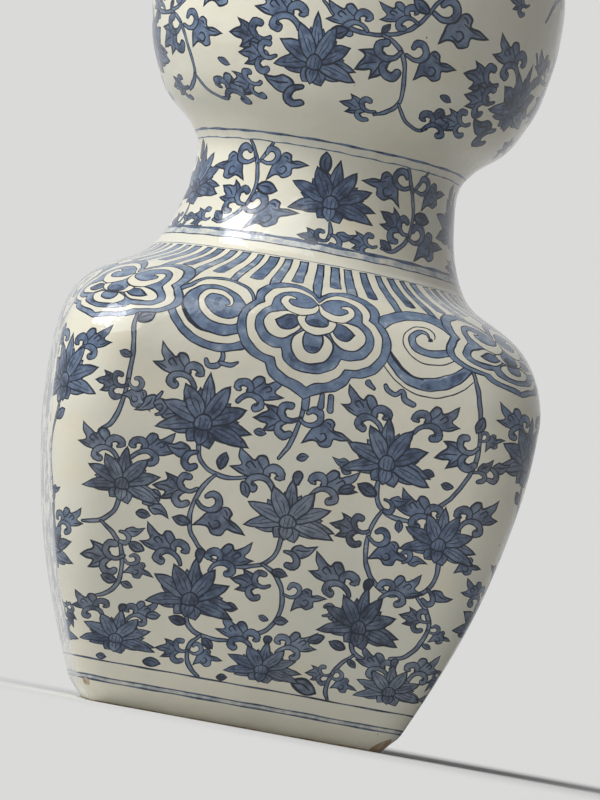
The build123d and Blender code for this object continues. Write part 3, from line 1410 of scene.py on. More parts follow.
WALL_SCROLL = Scroll(
    stems=(
        ((0.4, 160), (0.8, 151), (0.2, 142), (-2, 134), (-6, 127.5)),
        ((-41, 135), (-41, 129), (-40, 123), (-36.5, 118.5), (-31, 116), (-25, 115), (-18, 116.5)),
        (
            (-31.5, 115.5), (-36, 110), (-38.5, 103), (-39, 96), (-37.5, 89), (-33, 83), (-27, 78.5),
            (-22, 77.5),
        ),
        ((4, 100), (2.4, 93), (1, 86), (-3, 80.5), (-9, 78), (-15, 77), (-22, 78)),
        ((-4, 80), (2, 76.5), (6.5, 70.5), (8.5, 64), (8, 57.5), (5, 52), (0, 48), (-5, 46.5)),
        ((41, 132), (39.4, 126), (40, 119.5), (43, 114.5), (48, 111.8), (54, 111), (59, 111.5)),
        ((44, 113.5), (41, 107), (39.5, 100), (40, 92), (43, 85), (48, 79.5), (54, 76.5), (58, 77)),
        (
            (72, 181), (76, 172), (79, 162), (80.3, 152), (80, 143), (77.5, 133), (72.5, 124), (65, 118),
            (60, 117),
        ),
        (
            (-78, 181), (-79, 173), (-77.5, 165), (-76.5, 155), (-77, 145), (-78.5, 137), (-81, 130),
            (-85, 126),
        ),
        ((-71, 103), (-71.4, 97), (-73, 91), (-78, 86), (-85, 84.5)),
        ((-77, 86), (-71, 82), (-66, 76), (-64, 68), (-64.5, 60), (-69, 54), (-74, 52)),
        ((72.4, 101), (73, 95), (73, 88), (70, 82), (64, 78), (58, 76.5)),
        ((66, 77.5), (71, 73), (74, 66), (73, 59), (70, 53), (65, 49), (60, 48)),
        ((-32, 57), (-31.6, 51), (-30, 46), (-25, 42.5), (-18, 41.5), (-12, 42)),
        ((-24, 42), (-28, 37), (-28.5, 31), (-26, 26), (-22, 23)),
        ((42.5, 58), (41.8, 52), (43.5, 47.5), (49, 45), (54, 46)),
        ((44, 46), (39, 40), (35.8, 33), (35, 27), (36.5, 23)),
    ),
    leaves=(
        (HORN, -48, 151.5, 0, -1), (HORN, -28, 149, 0, 0.95), (HORN, 37, 148, -4, -1),
        (HORN, 51, 149.5, 0, 0.95), (HORN, -75, 115, 4, -0.92), (HORN, -69, 116, 0, 0.9),
        (HORN, -5, 113, 2, -1.02), (HORN, 11, 114.5, -6, 0.98), (HORN, 68, 110, 0, -0.95),
        (HORN, 78, 111, 0, 0.95), (HORN, -39.5, 73, 0, -0.98), (HORN, -26, 73, 6, 0.92),
        (HORN, 37, 73, 0, -1), (HORN, 50.5, 73.5, 4, 0.88), (HORN, -58, 43, 0, 0.72),
        (HORN, -68, 43, 10, -0.75), (HORN, -1, 40, 0, -0.85), (HORN, 10, 41, -4, 0.85),
        (HORN, 61, 38.5, 0, -0.78), (HORN, 70, 39, 4, 0.8), (FORK, -39, 107.5, 0, 0.92),
        (FORK, 0, 146, 6, 0.98), (FORK, 39, 103, 0, 0.85), (FORK, -28.5, 34, 0, 0.72),
        (FORK, 35.5, 35, 8, 0.55), (FORK, 80, 148, 22, 0.95), (FORK, -64.5, 72, 6, 0.95),
        (FORK, 73.5, 68, 0, 0.66), (FORK, -77, 147, 0, 0.72), (FORK, 1, 70, -4, 0.85),
        (ARROW, -37.5, 102.5, -14, 1), (ARROW, 0.5, 146, 0, 0.92), (ARROW, 40, 101, -12, 0.88),
        (ARROW, -63.5, 71, -14, 0.6), (ARROW, -28, 34, 4, 0.62), (ARROW, 36, 35, -10, 0.55),
        (ARROW, 8.5, 68, 14, 0.72), (ARROW, -76.5, 150, -38, 0.66), (ARROW, 80, 152, 20, 0.5),
        (ARROW, 74, 64, -8, 0.5), (ARROW, 78, 98, 0, 0.6), (TWIG, -41, 124, 8, 1), (TWIG, -60, 98, 170, 0.85),
        (TWIG, 44, 118, 0, -0.7), (TWIG, 5, 87, 6, -0.95), (TWIG, -61, 147, 60, 0.9),
        (TWIG, -62, 137, 200, 0.8), (TWIG, 27, 131, 0, 0.6), (TWIG, 27, 62, 190, 0.7),
        (TWIG, 86, 140, 0, -0.8), (BUD, 23, 118, 20, 0.8), (TWIG, 57, 92, 200, 0.7), (BUD, -56, 76, 160, 0.8),
        (BUD, -50, 47, 10, 0.7), (BUD, 30, 52, -150, 0.8), (TWIG, 70, 82, -22, -0.8),
        (TWIG, -68, 83, 0, -0.7), (TWIG, 80, 137, 30, -0.7), (BUD, 40, 119, 158, 0.98),
        (BUD, -30, 118, 78, 0.85), (BUD, -19, 115, -60, 0.8), (BUD, 2, 129, 20, 0.6),
        (BUD, 52, 111, -84, 0.6), (BUD, 73, 129, 170, 0.6), (BUD, -38, 92, 168, 0.85),
        (BUD, 0.5, 77.5, -10, 0.75), (BUD, 6, 55.5, 8, 0.7), (BUD, 4, 55, 172, 0.5),
        (BUD, -63.5, 60, -10, 0.6), (BUD, -65, 60, 168, 0.8), (BUD, -31, 47, 172, 0.85),
        (BUD, -23, 41, -38, 0.7), (BUD, 40, 48, 168, 0.8), (BUD, 42, 44, -40, 0.55), (BUD, 73, 57, -20, 0.5),
        (BUD, 81, 162, -110, 0.8), (BUD, -78, 176, 30, 0.95), (BUD, -77, 160, 165, 0.6),
        (BUD, -19, 138, -8, 0.6), (BUD, 58, 134, -8, 0.6), (BUD, -63, 93, 0, 0.7), (BUD, 19, 29, -18, 1.25),
        (BUD, -47, 26, 0, 0.8), (BUD, -14, 24.5, 8, 0.55), (BUD, -68, 24.5, 0, 0.5), (BUD, -18, 58, -6, 0.75),
    ),
    flowers=(
        (-41, 136.5, 0.98, 1, False), (41.5, 133.5, 0.95, 0.95, False), (-71, 103.5, 0.86, 0.76, False),
        (4, 100.5, 0.95, 0.86, True), (71, 102, 0.8, 0.8, False), (-32, 58, 0.92, 0.88, True),
        (43.5, 58.5, 0.86, 0.88, True), (-60.5, 33.5, 0.8, 0.62, True), (5.5, 31.5, 0.8, 0.62, True),
        (63, 31.5, 0.74, 0.62, True),
    ),
    leaf_growth=1.1,
)

CORNER_SCROLL = Scroll(
    stems=(
        ((8, 143), (11, 132), (15, 122), (16.5, 111), (14, 100), (12, 90), (13.5, 80), (14, 70)),
        ((14, 66), (18, 58), (16, 50), (9, 45), (3, 46)),
    ),
    leaves=(
        (HORN, 3, 157, 0, -0.95), (HORN, 14, 158, 0, 0.95), (HORN, 8, 80, 6, -0.8), (HORN, 20, 81, 0, 0.85),
        (FORK, 16, 114, 0, -0.8), (ARROW, 14, 102, 6, 0.7), (BUD, 12, 128, 150, 0.9),
        (TWIG, 14, 97, 10, 0.6), (FORK, 17, 56, 0, -0.75), (FORK, 6, 46, 70, 0.6),
        (BUD, 8, 30, 90, 0.7), (TWIG, 14, 34, 0, -0.8), (BUD, 22, 128, 20, 0.8),
    ),
    flowers=((8, 145, 0.92, 0.95, False), (14, 69, 0.78, 0.8, True)),
)

UNDER_CLOUD_WASH = 0.5
UNDER_CLOUD_STROKES: tuple[Marks, ...] = (
    ((-38.5, 170, 1.4), (-37.6, 166.5, 2.6), (-39, 163, 3), (-43, 162.2, 3), (-44.6, 164.6, 2.4)),
    ((-38, 164, 2.4), (-34, 163.8, 2.6), (-31, 165.4, 1.4)),
    (
        (34.6, 168, 2.2), (36.2, 166, 2.6), (39.5, 165, 2.4), (42.5, 167, 2.4), (43.8, 163.6, 2.8),
        (48, 161.8, 2.8),
    ),
    ((27, 167.5, 3), (30, 165.5, 1.6)),
    ((8, 158, 2.8), (8, 153, 3.2)),
    ((12, 158, 3), (12.4, 152.5, 3.6)),
    ((1, 156, 3.8), (1.4, 151.5, 3.4)),
)


# Borders of the shoulder


@dataclass(frozen=True)
class Ruyi:
    """A cloud-collar head: nested bands round two volutes and a small flower.

    Marks are millimetres from the centre line to the right and millimetres up the body's outline. Those
    named half are mirrored into whole outlines. Below the notches all is drawn up by the reach.
    """

    reach: float = 1.0
    load: float = 1.0
    notch_height: float = 190.0
    half_rim: Marks = (
        (0, 204.5, 1), (4.5, 209.6), (11, 212.6), (18, 211.6), (24, 207.6), (27.6, 202), (27.8, 196.4, 1),
        (31.4, 193), (34.6, 187), (34.2, 180), (30.4, 172.8), (25.4, 169.2), (19.6, 167.6, 1), (17.6, 163.6),
        (12.8, 160.4), (6.4, 158.4), (0, 155, 1),
    )
    rim_line: Marks = ((16, 172.2), (15.6, 169.6), (12, 165.8), (6.4, 163.4), (0, 161.6))
    rim_line_rise: float = 0.2
    rim_line_width: float = 0.8
    half_first_white: Marks = (
        (0, 201.2, 1), (4, 206.2), (10, 209.2), (16.6, 208.2), (21.6, 204.6), (24.2, 199.4), (24, 196.2, 1),
        (27.4, 193), (30.6, 188), (30.4, 181), (27, 175.2), (22, 171.8), (16.4, 170.6, 1), (14.2, 166.8),
        (8.8, 163.8), (3, 162.2), (0, 160.4, 1),
    )
    half_second_band: Marks = (
        (0, 199.6, 1), (4.2, 203.8), (10, 205.8), (15.6, 204.4), (19.8, 200.2), (20.6, 194.8, 1),
        (24.2, 191.6), (26.6, 187.4), (26.2, 182), (23, 177.2), (18, 175.2), (13.6, 175.4, 1), (12, 171.2),
        (7.2, 168), (0, 166.8),
    )
    half_band_shade: Marks = ((9.6, 174.6), (8, 170.8), (4, 168.8), (0, 168.2))
    side_white: Marks = (
        (7.4, 191.4), (13, 193.2), (19.4, 191.8), (22.8, 187.4), (22.2, 182.8), (18.2, 179.8), (12.2, 180),
        (7.4, 184), (5.4, 188),
    )
    drop: Marks = ((7.6, 190.8), (12.6, 191.6), (18.0, 187.6, 1), (15.2, 184.2), (10.8, 184.2), (7.2, 187.4))
    half_bottom_white: Marks = ((0, 187), (5, 185.4), (9.2, 181.6), (9.0, 176.2), (6.0, 172.4), (0, 170.8))
    half_cup: Marks = ((0, 186), (3.8, 185), (4.6, 181), (3.4, 177.4), (0, 175.8))
    half_cup_shade: Marks = ((3.4, 179.4), (2.6, 177.4), (0, 176.6))
    collar: Marks = (
        (9, 191.4), (6.4, 186.2), (0, 183.8), (-6.4, 186.2), (-9, 191.4), (-5, 192.6), (0, 191), (5, 192.6),
    )
    heart: Marks = (
        (-5.4, 190.4), (-3.8, 194.4), (0, 196.8, 1), (3.8, 194.4), (5.4, 190.4), (3, 188.2), (-3, 188.2),
    )
    heart_shade: Marks = ((-4.6, 190.2), (0, 191.8), (4.6, 190.2), (2.6, 188.8), (-2.6, 188.8))
    volute: Marks = (
        (0.2, 199, 1.6), (2.2, 195.8, 3.6), (6.8, 194, 4.4), (12, 194.8, 4.4), (15.2, 198, 4),
        (13.8, 201, 3.2), (10.8, 200.8, 1.8),
    )

    def draw(self, brush: Brush) -> None:
        """Draw it.

        Args:
            brush: The brush, centred on it.
        """
        blue = brush.loaded(self.load)
        blue.shape(self.whole(self.half_rim), 0.5, 0.3)
        line = [(x, y + self.rim_line_rise, self.rim_line_width) for x, y in self.lifted(self.rim_line)]
        for side in (1.0, -1.0):
            blue.line([(side * x, *rest) for x, *rest in line])
        blue.shape(self.whole(self.half_first_white), 0.0, 0.28)
        blue.shape(self.whole(self.half_second_band), 0.5, 0.28)
        brush.patch(self.whole(self.half_band_shade), 0.66, 0.3)
        for side in (1.0, -1.0):
            half = blue.moved(0, 0, 0, (side, 1.0))
            half.shape(self.lifted(self.side_white), 0.0)
            half.shape(self.lifted(self.drop), 0.7)
        blue.shape(self.whole(self.half_bottom_white), 0.0)
        blue.shape(self.whole(self.half_cup), 0.52)
        brush.patch(self.whole(self.half_cup_shade), 0.72, 0.3)
        blue.shape(self.lifted(self.collar), 0.0)
        blue.shape(self.heart, 0.44)
        brush.patch(self.heart_shade, 0.74)
        for side in (-1.0, 1.0):
            blue.moved(0, 0, 0, (side, 1.0)).stroke(self.volute, 0.0)

    def lifted(self, marks: Marks) -> list[Sequence[float]]:
        """Return marks of a full head, with those below the notches drawn up by the reach."""
        low = self.notch_height
        return [(x, y if y >= low else low - (low - y) * self.reach, *rest) for x, y, *rest in marks]

    def whole(self, marks: Marks) -> list[Sequence[float]]:
        """Return the whole outline, lifted, of its right half, whose ends lie on the centre line."""
        half = self.lifted(marks)
        return half + [(-x, *rest) for x, *rest in half[::-1] if x]


BLUE_CLOUD = Motif(0.5, (
    Touch(Way.SHAPE, (
        (-58, 199), (-52, 204.2), (-44, 206.8), (-36, 206), (-29, 201), (-27, 190), (-28, 174), (-33, 170.4),
        (-40, 168.8), (-48, 169.8), (-57, 173.8), (-64, 181), (-68, 190),
    ), depth=0.32),
    Touch(Way.SHAPE, (
        (-57, 197.5), (-52, 202.6), (-44, 205.2), (-36, 204.2), (-30, 199.6), (-28, 190), (-29, 178),
        (-33, 174.4), (-40, 172.4), (-48, 173.4), (-56, 177), (-62, 184), (-64, 191),
    ), 0.0, 0.26),
    Touch(Way.SHAPE, (
        (-57, 195.4), (-51, 199.6), (-44, 200.8), (-37, 198.8), (-32, 194), (-30, 188), (-31, 180.4),
        (-37, 176.8), (-44, 176.4), (-52, 179), (-58, 184.6), (-60, 190),
    ), depth=0.32),
    Touch(Way.LINE, ((-60, 187.4, 0.6), (-56.6, 182, 1.3), (-51, 178.2, 1.1), (-44, 176.8, 0.7))),
    Touch(Way.STROKE, (
        (-32.6, 186.4, 3.4), (-37, 183.6, 3.6), (-43.6, 183.4, 3.6), (-49.4, 186.4, 3.8), (-51.8, 191.6, 3.6),
        (-48.6, 196, 3.4), (-43, 196.8, 3.2), (-38.6, 194.4, 2.8), (-38.4, 191.4, 1.8), (-40.6, 190.6, 1.2),
    ), 0.0),
    Touch(Way.PATCH, ((-46.6, 190.4), (-45, 193.6), (-42.6, 194), (-43.6, 192), (-44, 189.6)), 0.72, 0.0),
))

WHITE_CLOUD = Motif(0.44, (
    Touch(Way.LINE, (
        (29, 180, 0.5), (36, 172.6, 0.6), (44, 168.2, 0.6), (52, 166.2, 0.6), (60, 166.8, 0.6),
        (68, 170.6, 0.6), (73, 176, 0.5),
    )),
    Touch(Way.SHAPE, (
        (26, 197), (33, 204), (40, 207.4), (48, 208.2), (56, 206.2), (63, 201), (70, 194), (73, 186),
        (70, 177), (63, 171), (52, 168.6), (42, 171), (34, 177.6), (28, 187),
    ), depth=0.3),
    Touch(Way.PATCH, (
        (52, 173.4), (60, 175.6), (67, 180), (70, 180), (66, 173.4), (58, 169.6), (50, 169.8),
    ), 0.66, 0.3),
    Touch(Way.SHAPE, (
        (30, 192), (35, 198), (42, 201.4), (50, 202.2), (56, 200.2), (62, 196), (68, 192), (69.4, 186),
        (66, 180), (58, 175.6), (50, 173.8), (42, 176.2), (35.4, 182), (31, 187),
    ), 0.0, 0.28),
    Touch(Way.LINE, ((33.6, 183.6, 0.5), (38, 178.6, 1.3), (44, 174.8, 1.0), (51, 173.6, 0.5))),
    Touch(Way.LINE, (
        (53, 193, 0.4), (52.6, 196, 0.6), (48.6, 198.2, 0.6), (43, 196.8, 0.6), (39.6, 192, 0.6),
        (40.8, 186.4, 0.6), (46, 182.2, 0.6), (52.6, 180.8, 0.6), (60, 182.4, 0.6), (66, 187, 0.5),
    )),
    Touch(Way.STROKE, (
        (51, 192.2, 0.8), (49.6, 194.8, 1.8), (46.4, 195.2, 2.6), (43.4, 192, 3.2), (44.6, 188, 3.6),
        (49.6, 186, 3.6), (56, 186.4, 3.8), (62, 189, 4.2), (67, 192, 4.2),
    ), 0.46),
    Touch(Way.SPOT, ((50.2, 191.2), (51.6, 193.4), (52.4, 191.6))),
))


@dataclass(frozen=True)
class StripeRing:
    """Upright bars round the foot of the collar: long ones behind the clouds between short ones."""

    count: int = 35
    start: float = -0.066
    top: float = 234.2
    taper_top: float = 226.0
    taper_bottom: float = 218.0
    long_bottom: float = 196.0
    short_bottom: float = 212.8
    short_swing: float = 2.2
    long_half: float = 1.9
    short_half: float = 2.35
    widening: float = 1.15
    long_wash: float = 0.42
    short_wash: float = 0.52
    foot_wash: float = 0.68
    depth: float = 0.3
    slip: float = 0.006
    foot_slip: float = 0.8
    foot_point: float = 0.8
    load_range: Point = (0.8, 1.1)
    width_range: Point = (0.85, 1.12)

    def draw(self, painting: Painting, seed: int) -> None:
        """Draw it.

        Args:
            painting: The body's painting.
            seed: Seed of its accidents.
        """
        rng = np.random.default_rng(seed)
        step = WHOLE_TURN / self.count
        for number in range(self.count):
            for is_long in (True, False):
                place = self.start + step * (number + (0.5 if is_long else 0.0))
                place += float(rng.uniform(-self.slip, self.slip))
                share = (place + 2.0) % WHOLE_TURN - 2.0
                brush = Brush.take(painting, share, number).loaded(float(rng.uniform(*self.load_range)))
                half = self.long_half if is_long else self.short_half
                half *= float(rng.uniform(*self.width_range))
                low = self.long_bottom
                if not is_long:
                    low = self.short_bottom + self.short_swing * math.cos(4 * math.pi * share)
                    low += float(rng.uniform(-self.foot_slip, self.foot_slip))
                self.draw_bar(brush, half, low, is_long)

    def draw_bar(self, brush: Brush, half: float, low: float, is_long: bool) -> None:
        """Draw one bar.

        Args:
            brush: The brush, centred on it.
            half: Half its width at the top.
            low: Where it ends below.
            is_long: Whether it is a long one.
        """
        wide = half * self.widening
        right = ((wide, low, 1), (wide, self.taper_bottom), (half, self.taper_top), (half, self.top, 1))
        left = tuple((-x, *rest) for x, *rest in right[::-1])
        wash = self.long_wash if is_long else self.short_wash
        brush.shape(left + ((0, low - self.foot_point),) + right, wash, self.depth)
        if not is_long:
            foot = (
                (-wide + 0.5, low + 0.4), (0, low), (wide - 0.5, low + 0.4), (wide - 0.6, low + 5),
                (0, low + 7), (-wide + 0.6, low + 4),
            )
            brush.patch(foot, self.foot_wash)


WAIST_SCROLL = Scroll(
    stems=(
        ((34, 51.5), (37, 45), (40, 38), (41.5, 30), (40.5, 22), (37, 15.5), (32, 11.5), (27, 12)),
        ((46, 51.5), (42.5, 46), (39.5, 41)),
        ((1, 19), (1.6, 14), (0, 9.6)),
    ),
    leaves=(
        (ARROW, 37, 42.5, -4, -0.9), (FORK, 39, 21, -28, 0.8), (ARROW, 41, 42, 14, 0.78),
        (ARROW, 40, 19.5, 12, 0.95), (BUD, 42, 30.5, 0, 1), (FORK, 24, 12, -4, 0.66),
        (FORK, 0.5, 10, -4, 0.62), (BUD, -5, 41, 100, 0.9), (BUD, 32, 12, 150, 0.7),
        (TWIG, 2, 13, -10, -0.7),
    ),
    flowers=((0, 28, 0.92, 0.86, False),),
    leaf_growth=1.2,
    flower_growth=1.14,
)

BULB_SCROLL = Scroll(
    stems=(
        (
            (1, 67), (7, 61.5), (14, 57.8), (21, 56.5), (29, 57), (37, 59.5), (43, 63.5), (48, 69), (52, 76),
            (57, 82),
        ),
        ((29, 57), (35, 54), (39.5, 49), (41.5, 42), (41.5, 34), (40, 28), (35, 23), (29, 19.5)),
        ((40, 27.5), (43, 21), (47, 17.5), (51, 16.2), (55, 18)),
    ),
    leaves=(
        (FORK, 38, 50, 26, 1), (ARROW, 41, 50, 8, 0.88), (HORN, 53, 17, -4, 0.88),
        (FORK, 29, 21, -8, 0.7), (TWIG, -4, 27, 6, 1.15), (FORK, -18, 39, 0, 0.85),
        (HORN, -9, 53, 0, -1), (ARROW, 51, 71, 4, 1.05), (HORN, 22, 57.5, 10, -0.8),
        (HORN, 44, 64.5, 24, -0.75), (BUD, 28, 57.5, 60, 0.55), (BUD, 14, 56.5, 200, 0.9),
        (FORK, 92, 47, -4, 0.95), (BUD, 49, 70, 150, 0.9), (BUD, 60, 36, -20, 0.6),
        (FORK, 79, 26, 4, 0.75),
    ),
    flowers=((0, 39, 0.86, 1.02, False),),
    leaf_growth=1.22,
)

CROWN_SCROLL = Scroll(
    stems=(
        ((-57, 82), (-50, 90), (-40, 96), (-30, 96), (-20, 90)),
        ((22, 88), (30, 95), (36, 104), (36, 114), (30, 122)),
        ((0, 112), (-3, 120), (0, 130), (6, 136)),
    ),
    leaves=(
        (HORN, -10, 112, 0, -0.9), (HORN, 9, 112, 0, 0.9), (FORK, -30, 100, 0, 0.95),
        (ARROW, 32, 98, 0, 0.9), (FORK, 36, 112, -10, 0.75), (ARROW, -34, 118, 10, 0.75),
        (HORN, 4, 134, 10, 0.7), (HORN, 0, 132, -10, -0.7), (BUD, -24, 128, 40, 0.9),
        (BUD, 30, 130, 120, 0.9), (FORK, 44, 86, 0, 0.7), (BUD, 46, 126, 80, 0.8),
        (FORK, -46, 106, 0, 0.8), (ARROW, -8, 124, 30, 0.7), (TWIG, 16, 122, 0, -0.9),
        (HORN, -28, 134, 0, 0.8), (FORK, 26, 140, 0, 0.7), (BUD, 57, 98, 40, 0.9),
        (BUD, -44, 126, 100, 0.8), (FORK, -20, 144, -20, 0.6), (ARROW, 40, 134, 0, 0.6),
    ),
    flowers=((0, 97, 0.86, 0.85, False), (46, 112, 0.6, 0.6, True)),
)

CROWN_TOP_SCROLL = Scroll(
    stems=(((-20, 150), (-10, 145), (0, 147), (10, 153), (20, 150)),),
    leaves=(
        (FORK, -4, 146, 0, 0.6), (ARROW, 6, 151, 10, 0.55), (HORN, -14, 150, 20, 0.55),
        (BUD, 14, 160, 60, 0.7), (BUD, -10, 162, 100, 0.6),
    ),
)

NECK_SCROLL = Scroll(leaves=((FORK, -1, 12, 0, 0.55), (ARROW, 0, 14, 14, 0.5)))


class Seed(IntEnum):
    """Seeds of the brush's accidents, to which the number of a side or repeat is added."""

    WAIST_RING = 3
    BULB_RING = 4
    STRIPES = 5
    NECK_RING = 6
    FOOT_RING = 7
    STANDING_EDGE = 8
    WALL = 20
    CORNER = 40
    CLOUD = 60
    HEAD = 80
    WAIST = 100
    BULB = 120
    CROWN = 140
    CROWN_TOP = 160
    NECK = 180


@dataclass(frozen=True)
class Decorator:
    """Paints the vase as a scroll painter would, border by border.

    Rings have their lower and upper edge in millimetres up the section's outline, and their wash. A
    repeat of the turned sections' scroll takes a fifth of the way round.
    """

    body: Painting
    waist: Painting
    bulb: Painting
    neck: Painting
    wall_mirrors: tuple[float, ...] = (1.0, 1.0, -1.0, -1.0)
    wall_fades: tuple[float, ...] = (0.3, 0.36, 0.3, 0.12)
    corner_fade: float = 0.2
    side_reach: float = 66.0
    repeat: float = 0.8
    waist_load: float = 1.02
    waist_fade: float = 0.05
    bulb_shift: float = -0.15
    bulb_fade: float = 0.12
    corner_reach: float = 0.45
    corner_load: float = 0.9
    waist_rings: Marks = (
        (3.5, 4.3, 0.85), (4.3, 6.9, 0.2), (6.9, 8.4, 0.74), (51.2, 51.9, 0.62), (51.9, 54.9, 0.07),
        (54.9, 56, 0.66),
    )
    bulb_rings: Marks = ((168.0, 168.9, 0.85), (171.0, 172.4, 0.7), (188.0, 189.2, 0.8))
    neck_rings: Marks = ((1.8, 2.8, 0.8), (22.6, 23.6, 0.8))
    foot_rings: Marks = (
        (22.1, 22.9, 0.84), (14.1, 14.9, 0.72), (13.1, 14.1, 0.2), (12.2, 13, 0.72), (234.4, 234.9, 0.5),
    )
    foot_fade: float = 0.3
    standing_edge: Point = (-0.5, 0.7)
    chip_edge: Tone = Tone(0.75, 0.9, 0.55)
    chip_rim: float = 0.5
    right_chip: Marks = (
        (-3.6, -0.5), (-4.4, 3.4), (-2.6, 7.2), (0.4, 9.4), (3, 7), (4.6, 2.6), (4, -0.5),
    )
    left_chip: Marks = ((-1.8, 9.6), (-2.0, 12.0), (0.2, 13.0), (1.8, 11.4), (1.0, 9.2))

    def paint(self) -> None:
        """Paint everything."""
        self.paint_walls()
        self.paint_shoulder()
        self.paint_turned()
        self.paint_foot()

    def paint_walls(self) -> None:
        """Paint the lotus scroll of the four walls and their corners."""
        for side, (mirror, fade) in enumerate(zip(self.wall_mirrors, self.wall_fades)):
            corner = (side + 2.5) % WHOLE_TURN - 2.0
            brush = Brush.take(self.body, corner, Seed.CORNER + side).loaded(1.0, self.corner_fade)
            CORNER_SCROLL.draw(brush.moved(0, 0, 0, (-1.0 if side % 2 else 1.0, 1.0)))
            brush = Brush.take(self.body, side_centre(side), Seed.WALL + side).loaded(1.0, fade)
            own = brush.moved(0, 0, 0, (mirror, 1.0))
            scroll = WALL_SCROLL.within(self.side_reach) if side % 2 else WALL_SCROLL
            scroll.draw(own)
            for marks in UNDER_CLOUD_STROKES:
                own.stroke(marks, UNDER_CLOUD_WASH)

    def paint_shoulder(self) -> None:
        """Paint the stripes, the clouds and the ruyi heads."""
        StripeRing().draw(self.body, Seed.STRIPES)
        for side in range(len(SIDES)):
            brush = Brush.take(self.body, side_centre(side), Seed.CLOUD + side)
            BLUE_CLOUD.draw(brush)
            WHITE_CLOUD.draw(brush)
        for eighth in range(-3, 5):
            head = Ruyi(self.corner_reach, self.corner_load) if eighth % 2 else Ruyi()
            head.draw(Brush.take(self.body, eighth / 2, Seed.HEAD + eighth))

    def paint_turned(self) -> None:
        """Paint the waist, the round bulb and the neck."""
        for unit in range(-2, 3):
            centre = unit * self.repeat
            fade = self.waist_fade if unit else 0.0
            brush = Brush.take(self.waist, centre, Seed.WAIST + unit)
            WAIST_SCROLL.draw(brush.loaded(self.waist_load, fade))
            shifted = centre + self.bulb_shift
            for scroll, place, seed in (
                (BULB_SCROLL, shifted, Seed.BULB),
                (CROWN_SCROLL, shifted + self.repeat / 2, Seed.CROWN),
                (CROWN_TOP_SCROLL, shifted, Seed.CROWN_TOP),
            ):
                scroll.draw(Brush.take(self.bulb, place, seed + unit).loaded(1.0, self.bulb_fade))
            NECK_SCROLL.draw(Brush.take(self.neck, centre, Seed.NECK + unit))
        self.draw_rings(self.waist, self.waist_rings, Seed.WAIST_RING)
        self.draw_rings(self.bulb, self.bulb_rings, Seed.BULB_RING)
        self.draw_rings(self.neck, self.neck_rings, Seed.NECK_RING)

    @staticmethod
    def draw_rings(painting: Painting, rings: Marks, seed: int, faded: float = 0.0) -> None:
        """Draw the rings of a section."""
        for low, high, wash in rings:
            painting.ring(low, high, Tone(wash, faded), seed)

    def paint_foot(self) -> None:
        """Draw the lines of the foot, the bare edge that it stands on and its chips."""
        self.draw_rings(self.body, self.foot_rings, Seed.FOOT_RING, self.foot_fade)
        self.body.ring(*self.standing_edge, CLAY, Seed.STANDING_EDGE)
        for centre, marks in ((0.5, self.right_chip), (-0.5, self.left_chip)):
            outline = loop(marks)
            self.body.add(outline, self.chip_edge, centre)
            self.body.add(inset(outline, self.chip_rim), CLAY, centre)


# Finishes


class Finish(Enum):
    """Names of the finishes."""

    PAINTED = "painted_glaze"
    PLAIN = "plain_glaze"

    @property
    def words(self) -> str:
        """The name in plain words."""
        return self.value.replace("_", " ")


@dataclass(frozen=True)
class Wire:
    """A node's output, on which shader maths is written as a Python expression."""

    weaver: Weaver
    socket: bpy.types.NodeSocket

    def __add__(self, other: Wire | float) -> Wire:
        """Add."""
        return self.weaver.math("ADD", self, other)

    def __sub__(self, other: Wire | float) -> Wire:
        """Subtract."""
        return self.weaver.math("SUBTRACT", self, other)

    def __rsub__(self, other: Wire | float) -> Wire:
        """Subtract from a number."""
        return self.weaver.math("SUBTRACT", other, self)

    def __mul__(self, other: Wire | float) -> Wire:
        """Multiply."""
        return self.weaver.math("MULTIPLY", self, other)

    def __gt__(self, other: Wire | float) -> Wire:
        """Give 1 where it is more."""
        return self.weaver.math("GREATER_THAN", self, other)

    __radd__ = __add__
    __rmul__ = __mul__

    def ramp(self, low: float, high: float) -> Wire:
        """Return 0 up to the low value and 1 from the high one, softly between."""
        values = {"Value": self, "From Min": low, "From Max": high}
        return self.weaver.node("ShaderNodeMapRange", {"interpolation_type": "SMOOTHSTEP"}, values)


# Share that each finer layer of a noise has of the one before
FINER = 0.55
SEEING_RAYS = ("Is Camera Ray", "Is Glossy Ray", "Is Transmission Ray")


